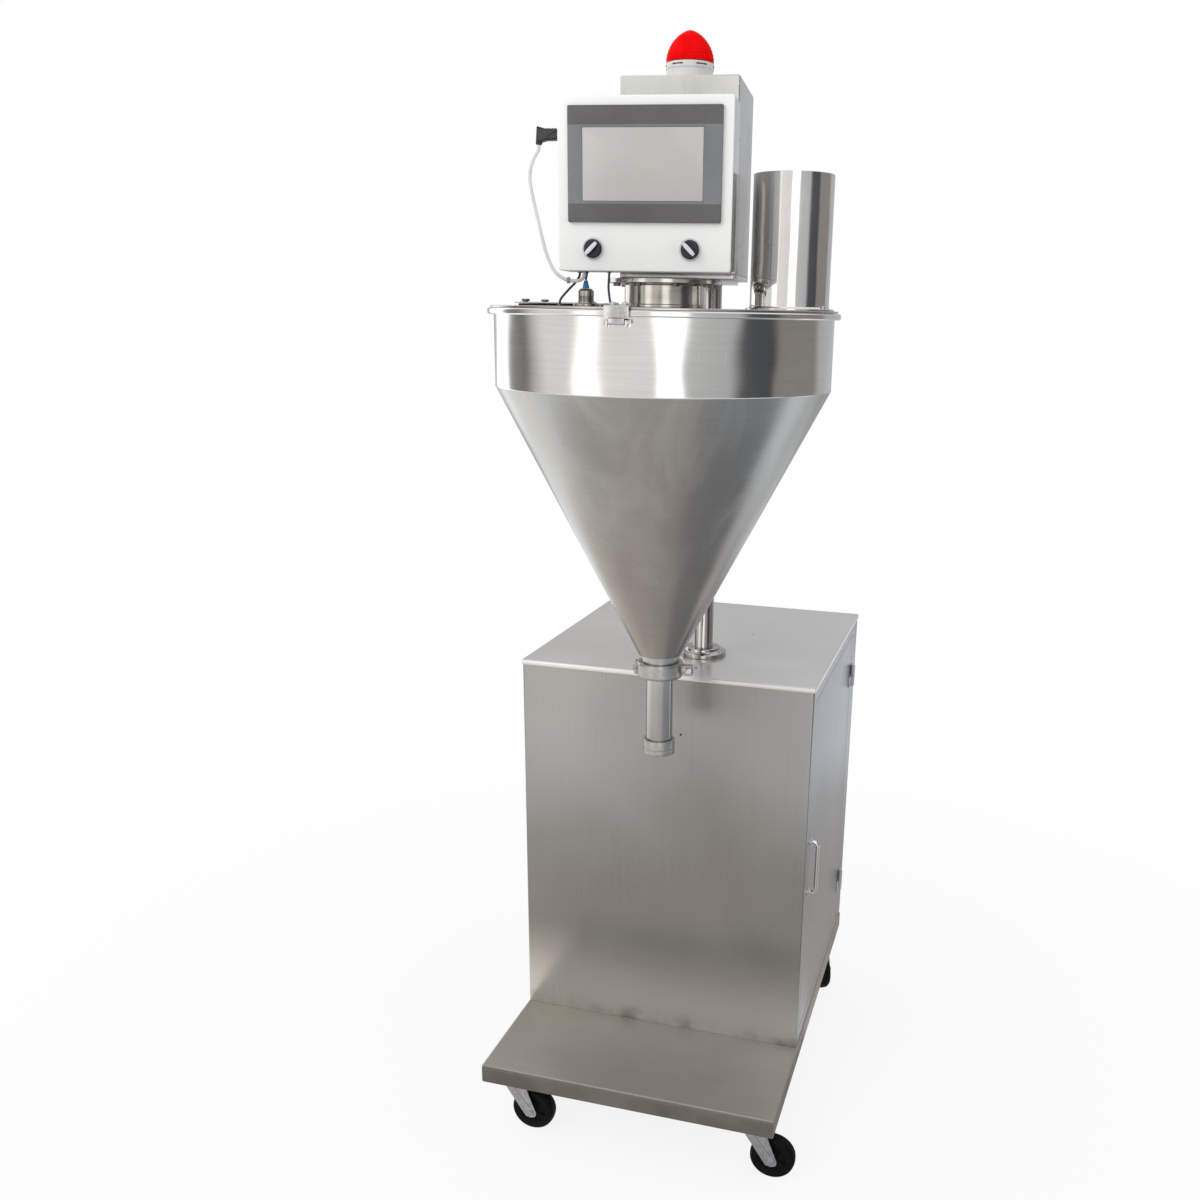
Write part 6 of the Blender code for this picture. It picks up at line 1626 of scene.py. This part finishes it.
def buildOperatorBox():
    low, high = localBox("hmi_box", headFrame)
    bezelLow, bezelHigh = localBox("hmi_bezel", headFrame)
    screenLow, screenHigh = localBox("hmi_screen", headFrame)
    # rounded along its long edges, and then round its front
    form = cubeForm(low, high)
    bevelEdges(form, [edge for edge in form.edges if abs(edge.verts[0].co.y - edge.verts[1].co.y) > 0.01],
               head["boxFold"], 5)
    rims = [edge for edge in form.edges if all(vertex.co.y < low.y + 0.001 for vertex in edge.verts) and
            abs(edge.calc_face_angle(0)) > 0.7]
    bevelEdges(form, rims, head["boxRim"], 4)
    wall = Vector((1, 1, 1)) * head["sheet"]
    cavity = bmesh.new()
    roundedBlock(cavity, low + wall, high - wall, 0.006, 4)
    passage = rodForm(0.014, ((low.x + high.x) / 2, high.y - 0.01, (low.z + high.z) / 2), 0.02, "Y")
    form = cutAway(form, [cavity, passage])
    rim = head["boxFold"] * 0.6
    # the right side and top take the greyer copy: painted shade; the left side and bottom keep the white paint
    addPiece("operatorBox", form, headFrame, "machine", [palePaint, boxSide], ["hmi_box"], smooth=30,
             pick=lambda centre: int(centre.y > low.y + rim and
                                      (centre.x > high.x - rim or centre.z > high.z - rim)))
    # bezel: a frame with two darker bands, and a recess for the film
    bands = bmesh.new()
    cornerPoints = [(bezelLow.x, bezelLow.z), (bezelHigh.x, bezelLow.z), (bezelHigh.x, bezelHigh.z),
                    (bezelLow.x, bezelHigh.z)]
    depth = bezelHigh.y - bezelLow.y
    turn = Matrix.Translation((0, bezelHigh.y, 0)) @ standUp
    joinForm(bands, plateForm(cornerPoints, 0, depth, 0.0018, 0.0008), turn)
    pocketDeep = cubeForm((screenLow.x - 0.0003, bezelLow.y - 0.01, screenLow.z - 0.0003),
                         (screenHigh.x + 0.0003, screenHigh.y + 0.0003, screenHigh.z + 0.0003))
    bands = cutAway(bands, [pocketDeep])
    height = bezelHigh.z - bezelLow.z
    lowBand = bezelLow.z + 0.162 * height
    highBand = bezelLow.z + 0.836 * height

    def whichBand(centre):
        return 1 if lowBand < centre.z < highBand and centre.y < bezelLow.y + 0.0015 else 0
    # the front face is split along the two bands
    for z in (lowBand, highBand):
        geometry = bands.verts[:] + bands.edges[:] + bands.faces[:]
        bmesh.ops.bisect_plane(bands, geom=geometry, plane_co=(0, 0, z), plane_no=(0, 0, 1))
    addPiece("bezel", bands, headFrame, "machine", [bezelPlastic, bezelSide], ["hmi_bezel"],
             pick=whichBand)
    film = plateForm([(screenLow.x, screenLow.z), (screenHigh.x, screenLow.z), (screenHigh.x, screenHigh.z),
                      (screenLow.x, screenHigh.z)],
                     0, screenHigh.y - screenLow.y, 0.0012, 0.0003)
    form = bmesh.new()
    joinForm(form, film, Matrix.Translation((0, screenHigh.y, 0)) @ standUp)
    addPiece("touchFilm", form, headFrame, "machine", screenFilm, ["hmi_screen"])


def buildKnob(name):
    turnLow, turnHigh = localBox("selector_knob_" + name, headFrame)
    joint = joints["selector_turn_" + name]
    at = headFrame.inverted() @ Vector(joint["pos_m"])
    sign = -1 if name == "left" else 1
    place = headFrame @ Matrix.Translation((at.x, turnHigh.y, at.z)) @ Matrix.Rotation(-sign * math.radians(45), 4, "Y")
    reach = turnHigh.y - turnLow.y
    radius = 0.0114
    deck = 0.0070
    form = bmesh.new()
    lathe(form, [(0, 0), (radius, 0, 0.0004), (radius, -0.0024, 0.0006), (radius - 0.0008, -0.0030, 0.0004),
                 (radius - 0.0010, -deck, 0.0010),
                 (radius - 0.0028, -deck - 0.0002, 0.0006), (0, -deck + 0.0004)], 64, (0, 0, 0), "Y")
    for index in range(28):
        turn = Matrix.Rotation(2 * math.pi * index / 28, 4, "Y")
        roundedBlock(form, (-0.0004, -deck + 0.0012, radius - 0.0012), (0.0004, -0.0032, radius - 0.0003), 0.0002, 1,
                     turn)
    # thumb bar that tapers to both ends
    bar = plateForm([(-0.0020, -0.0102), (0.0020, -0.0102), (0.0029, -0.005), (0.0029, 0.005), (0.0020, 0.0102),
                     (-0.0020, 0.0102),
                     (-0.0029, 0.005), (-0.0029, -0.005)], 0, reach - deck + 0.0006, 0.0010, 0.0005)
    joinForm(form, bar, Matrix.Translation((0, -deck + 0.0006, 0)) @ standUp)
    addPiece("selector_" + name, form, place, "selector_" + name, knobPlastic,
             ["selector_knob_" + name])
    form = bmesh.new()
    mark = plateForm([(-0.0018, -0.0099), (0.0018, -0.0099), (0.0026, -0.0050), (0.0026, 0.0050), (0.0018, 0.0099),
                      (-0.0018, 0.0099), (-0.0026, 0.0050), (-0.0026, -0.0050)], 0, 0.00035, 0.0006, 0.0001)
    joinForm(form, mark, Matrix.Translation((0, -reach + 0.0002, 0)) @ standUp)
    addPiece("selectorMark_" + name, form, place, "selector_" + name, silverPaint)
    # fixed ring on the panel
    form = bmesh.new()
    lathe(form, [(radius + 0.0002, 0.0002), (radius + 0.0028, 0.0002), (radius + 0.0026, -0.0008, 0.0004),
                 (radius + 0.0002, -0.0010, 0.0004)],
          64, (at.x, turnHigh.y, at.z), "Y")
    addPiece("selectorRing_" + name, form, headFrame, "machine", silverPaint)


beacon = {"point": 1.30, "overlap": 0.0035, "ribs": 13, "rib": 0.0005, "wall": 0.002}


def buildBeacon():
    baseLow, baseHigh = localBox("beacon_base", headFrame)
    lensLow, lensHigh = localBox("beacon_lens", headFrame)
    middle = (baseLow + baseHigh) / 2
    radius = baseHigh.x - middle.x
    baseHigh.z -= beacon["overlap"]
    lensLow.z -= beacon["overlap"]
    form = bmesh.new()
    lathe(form, [(0, baseLow.z), (radius - 0.0004, baseLow.z, 0.0010), (radius - 0.0004, baseLow.z + 0.0024, 0.0008),
                 (radius - 0.0010, baseLow.z + 0.0032),
                 (radius - 0.0012, baseHigh.z - 0.0088, 0.0006), (radius - 0.0002, baseHigh.z - 0.0080, 0.0008),
                 (radius - 0.0002, baseHigh.z - 0.0008, 0.0008), (radius - 0.0030, baseHigh.z, 0.0004),
                 (0, baseHigh.z)], 96,
          (middle.x, middle.y, 0))
    addPiece("beaconBase", form, headFrame, "machine", palePlastic, ["beacon_base"])
    # dark plates, nearly flush, where the base's slots are: painted shade
    form = bmesh.new()
    for degrees in range(0, 360, 60):
        turn = Matrix.Translation((middle.x, middle.y, 0)) @ Matrix.Rotation(math.radians(degrees + 8), 4, "Z")
        roundedBlock(form, (radius - 0.0016, -0.0075, baseHigh.z - 0.0052),
                     (radius - 0.00005, 0.0075, baseHigh.z - 0.0034), 0.0004, 2, turn)
    addPiece("beaconSlots", form, headFrame, "machine", darkSlot)

    # ribbed dome
    height = lensHigh.z - lensLow.z
    wall, ribs = beacon["wall"], beacon["ribs"]
    outer, inner = [], []
    steps = ribs * 6
    for step in range(steps + 1):
        share = step / steps
        angle = math.radians(90 * share)
        ripple = beacon["rib"] * (0.5 + 0.5 * math.cos(2 * math.pi * ribs * share)) if 0.02 < share < 0.80 else 0.0
        size = max(0.0, radius * math.cos(angle) ** beacon["point"] - beacon["rib"] + ripple) if step < steps else 0.0
        outer.append((size, lensLow.z + (height - 0.0004) * math.sin(angle)))
    for step in range(13):
        angle = math.radians(90 * (1 - step / 12))
        size = (radius - wall) * math.cos(angle) ** beacon["point"] if step else 0.0
        inner.append((size, lensLow.z + (height - wall) * math.sin(angle)))
    form = bmesh.new()
    lathe(form, outer + inner, 96, (middle.x, middle.y, 0))
    addPiece("beaconLens", form, headFrame, "machine", redLens, ["beacon_lens"], smooth=60)


buildTubeClamp()
buildAugerTube()
buildNeck()
buildHousing()
buildOperatorBox()
for side in ("left", "right"):
    buildKnob(side)
buildBeacon()
print("nozzle and head built")

# leads, each held at both ends

def smoothRoute(points, perStretch=12):
    # a smooth curve through the chosen points
    ends = [points[0]] + list(points) + [points[-1]]
    dense = []
    for a, b, c, d in zip(ends, ends[1:], ends[2:], ends[3:]):
        for step in range(perStretch):
            t = step / perStretch
            dense.append(Vector([0.5 * (2 * q + (r - p) * t + (2 * p - 5 * q + 4 * r - s) * t * t +
                                        (3 * q - p - 3 * r + s) * t ** 3) for p, q, r, s in zip(a, b, c, d)]))
    dense.append(Vector(points[-1]))
    return dense


operatorLow, operatorHigh = localBox("hmi_box", headFrame)
lidDeck = localBox("hopper_lid", hopperFrame)[0].z + 0.003
bootTop = localBox("sensor_boot", headFrame)[1].z
hoodY = operatorLow.y + 0.020
underBox = operatorLow.z - 0.0010
leads = {
    "hmi_cable": {"diameter": 0.0045, "finish": whiteSheath, "slot": "white_cable", "route": [
        (-0.1500, hoodY, 1.5563), (-0.1516, hoodY, 1.5495), (-0.1575, hoodY, 1.5400),
        (-0.1620, hoodY, 1.5275), (-0.1629, hoodY, 1.5136), (-0.1592, hoodY, 1.4932), (-0.1540, hoodY, 1.4709),
        (-0.1487, hoodY, 1.4487), (-0.1425, hoodY, 1.4263), (-0.1340, hoodY, 1.4075), (-0.1241, hoodY, 1.3975),
        (-0.1130, hoodY, 1.3930), (-0.1010, hoodY, 1.3925), (-0.0932, hoodY, 1.3965), (-0.0914, hoodY, underBox)]},
    "lid_cable_left": {"diameter": 0.003, "finish": darkSheath, "slot": "dark_cable", "route": [
        (-0.1025, -0.066, underBox), (-0.1028, -0.067, 1.3990), (-0.1070, -0.071, 1.3910), (-0.1165, -0.077, 1.3800),
        (-0.1245, -0.083, 1.3690), (-0.1250, -0.085, lidDeck + 0.0006)]},
    "lid_cable_right": {"diameter": 0.003, "finish": darkSheath, "slot": "dark_cable", "route": [
        (-0.0584, -0.085, underBox), (-0.0590, -0.085, 1.3960), (-0.0595, -0.085, 1.3850), (-0.0585, -0.085, 1.3740),
        (-0.0560, -0.085, lidDeck + 0.0006)]},
    "sensor_cable": {"diameter": 0.003, "finish": darkSheath, "slot": "dark_cable", "route": [
        (-0.0922, -0.075, bootTop + 0.0003), (-0.0918, -0.075, bootTop + 0.0033), (-0.0910, -0.0746, bootTop + 0.0068),
        (-0.0906, -0.0744, underBox)]},
}


def buildLead(name):
    facts = leads[name]
    line = [headFrame @ point for point in smoothRoute(facts["route"])]
    length = sum((b - a).length for a, b in zip(line, line[1:]))
    form = bmesh.new()
    pipe(form, line, facts["diameter"] / 2, 20)
    lead = addPiece("lead_" + name, form, Matrix.Identity(4), "machine", facts["finish"], [name],
                    smooth=60)
    return length


def buildHood():
    # rubber cable hood on the box's left side: flared mouth, ribbed neck, two ribs under it
    low, high = localBox("cable_hood", headFrame)
    middle = (low + high) / 2
    left = operatorLow.x - 0.0003
    half = (high.y - low.y) / 2
    form = bmesh.new()
    outline = [(left, 1.5746), (-0.1400, 1.5750), (-0.1517, 1.5781), (-0.1531, 1.5577), (-0.1400, 1.5610),
               (left, 1.5618)]
    other = plateForm(outline, -half, half, 0.0012, 0.0022)
    joinForm(form, other, Matrix.Translation((0, middle.y, 0)) @ standUp)
    for x in (-0.1275, -0.1310, -0.1345, -0.1380):
        roundedBlock(form, (x - 0.0007, middle.y - half + 0.0001, 1.5612),
                     (x + 0.0007, middle.y + half - 0.0001, 1.5754), 0.0005, 2)
    lathe(form, [(0.0023, 1.5566), (0.0040, 1.5566, 0.0006), (0.0044, 1.5590, 0.0006), (0.0023, 1.5600)], 32,
          (-0.1500, middle.y, 0))
    addPiece("cableHood", form, headFrame, "machine", blackPlastic, ["cable_hood"])


def buildGlands():
    # small fittings where the leads meet the box and the lid
    form = bmesh.new()
    for x, y, radius in ((-0.0914, hoodY, 0.0042), (-0.1025, -0.066, 0.0033), (-0.0584, -0.085, 0.0033),
                         (-0.0906, -0.0744, 0.0030)):
        lathe(form, [(radius * 0.45, underBox - 0.0004), (radius * 0.85, underBox - 0.0004, 0.0003),
                     (radius, underBox + 0.0002), (radius, operatorLow.z + 0.0002),
                     (radius * 0.45, operatorLow.z + 0.0002)], 28, (x, y, 0))
    for x, y in ((-0.1250, -0.085), (-0.0560, -0.085)):
        hexHead(form, 0.0045, 0.0026, (x, y, lidDeck + 0.0002), "Z", 0.2)
    addPiece("leadFittings", form, headFrame, "machine", darkSteel)
    # grey clip where the white lead turns under the box
    form = bmesh.new()
    at = Vector((-0.1130, hoodY, 1.3930))
    band = [at + Vector((0, 0.0031 * math.cos(2 * math.pi * i / 24),
                         0.0031 * math.sin(2 * math.pi * i / 24))) for i in range(24)]
    for dx in (-0.0012, 0.0, 0.0012):
        pipe(form, [point + Vector((dx, 0, 0)) for point in band], 0.0008, 8, True)
    addPiece("leadClip", form, headFrame, "machine", clipPlastic)


for name in leads:
    print("lead", name, round(buildLead(name), 4))
buildHood()
buildGlands()

# inside: these keep the frame's shapes and get their finishes

inside = {"auger": turnedSteel, "agitator": turnedSteel, "agitator_gear": darkSteel, "agitator_pinion": darkSteel,
          "agitator_motor": zincPlate, "auger_motor": motorPaint, "motor_mount": castAluminium,
          "mounting_plate": mountSteel,
          "servo_drive": blackPlastic}
for name, finish in inside.items():
    mesh = nodes[name].data
    mesh.materials.clear()
    mesh.materials.append(finish)
print("leads and inside done")
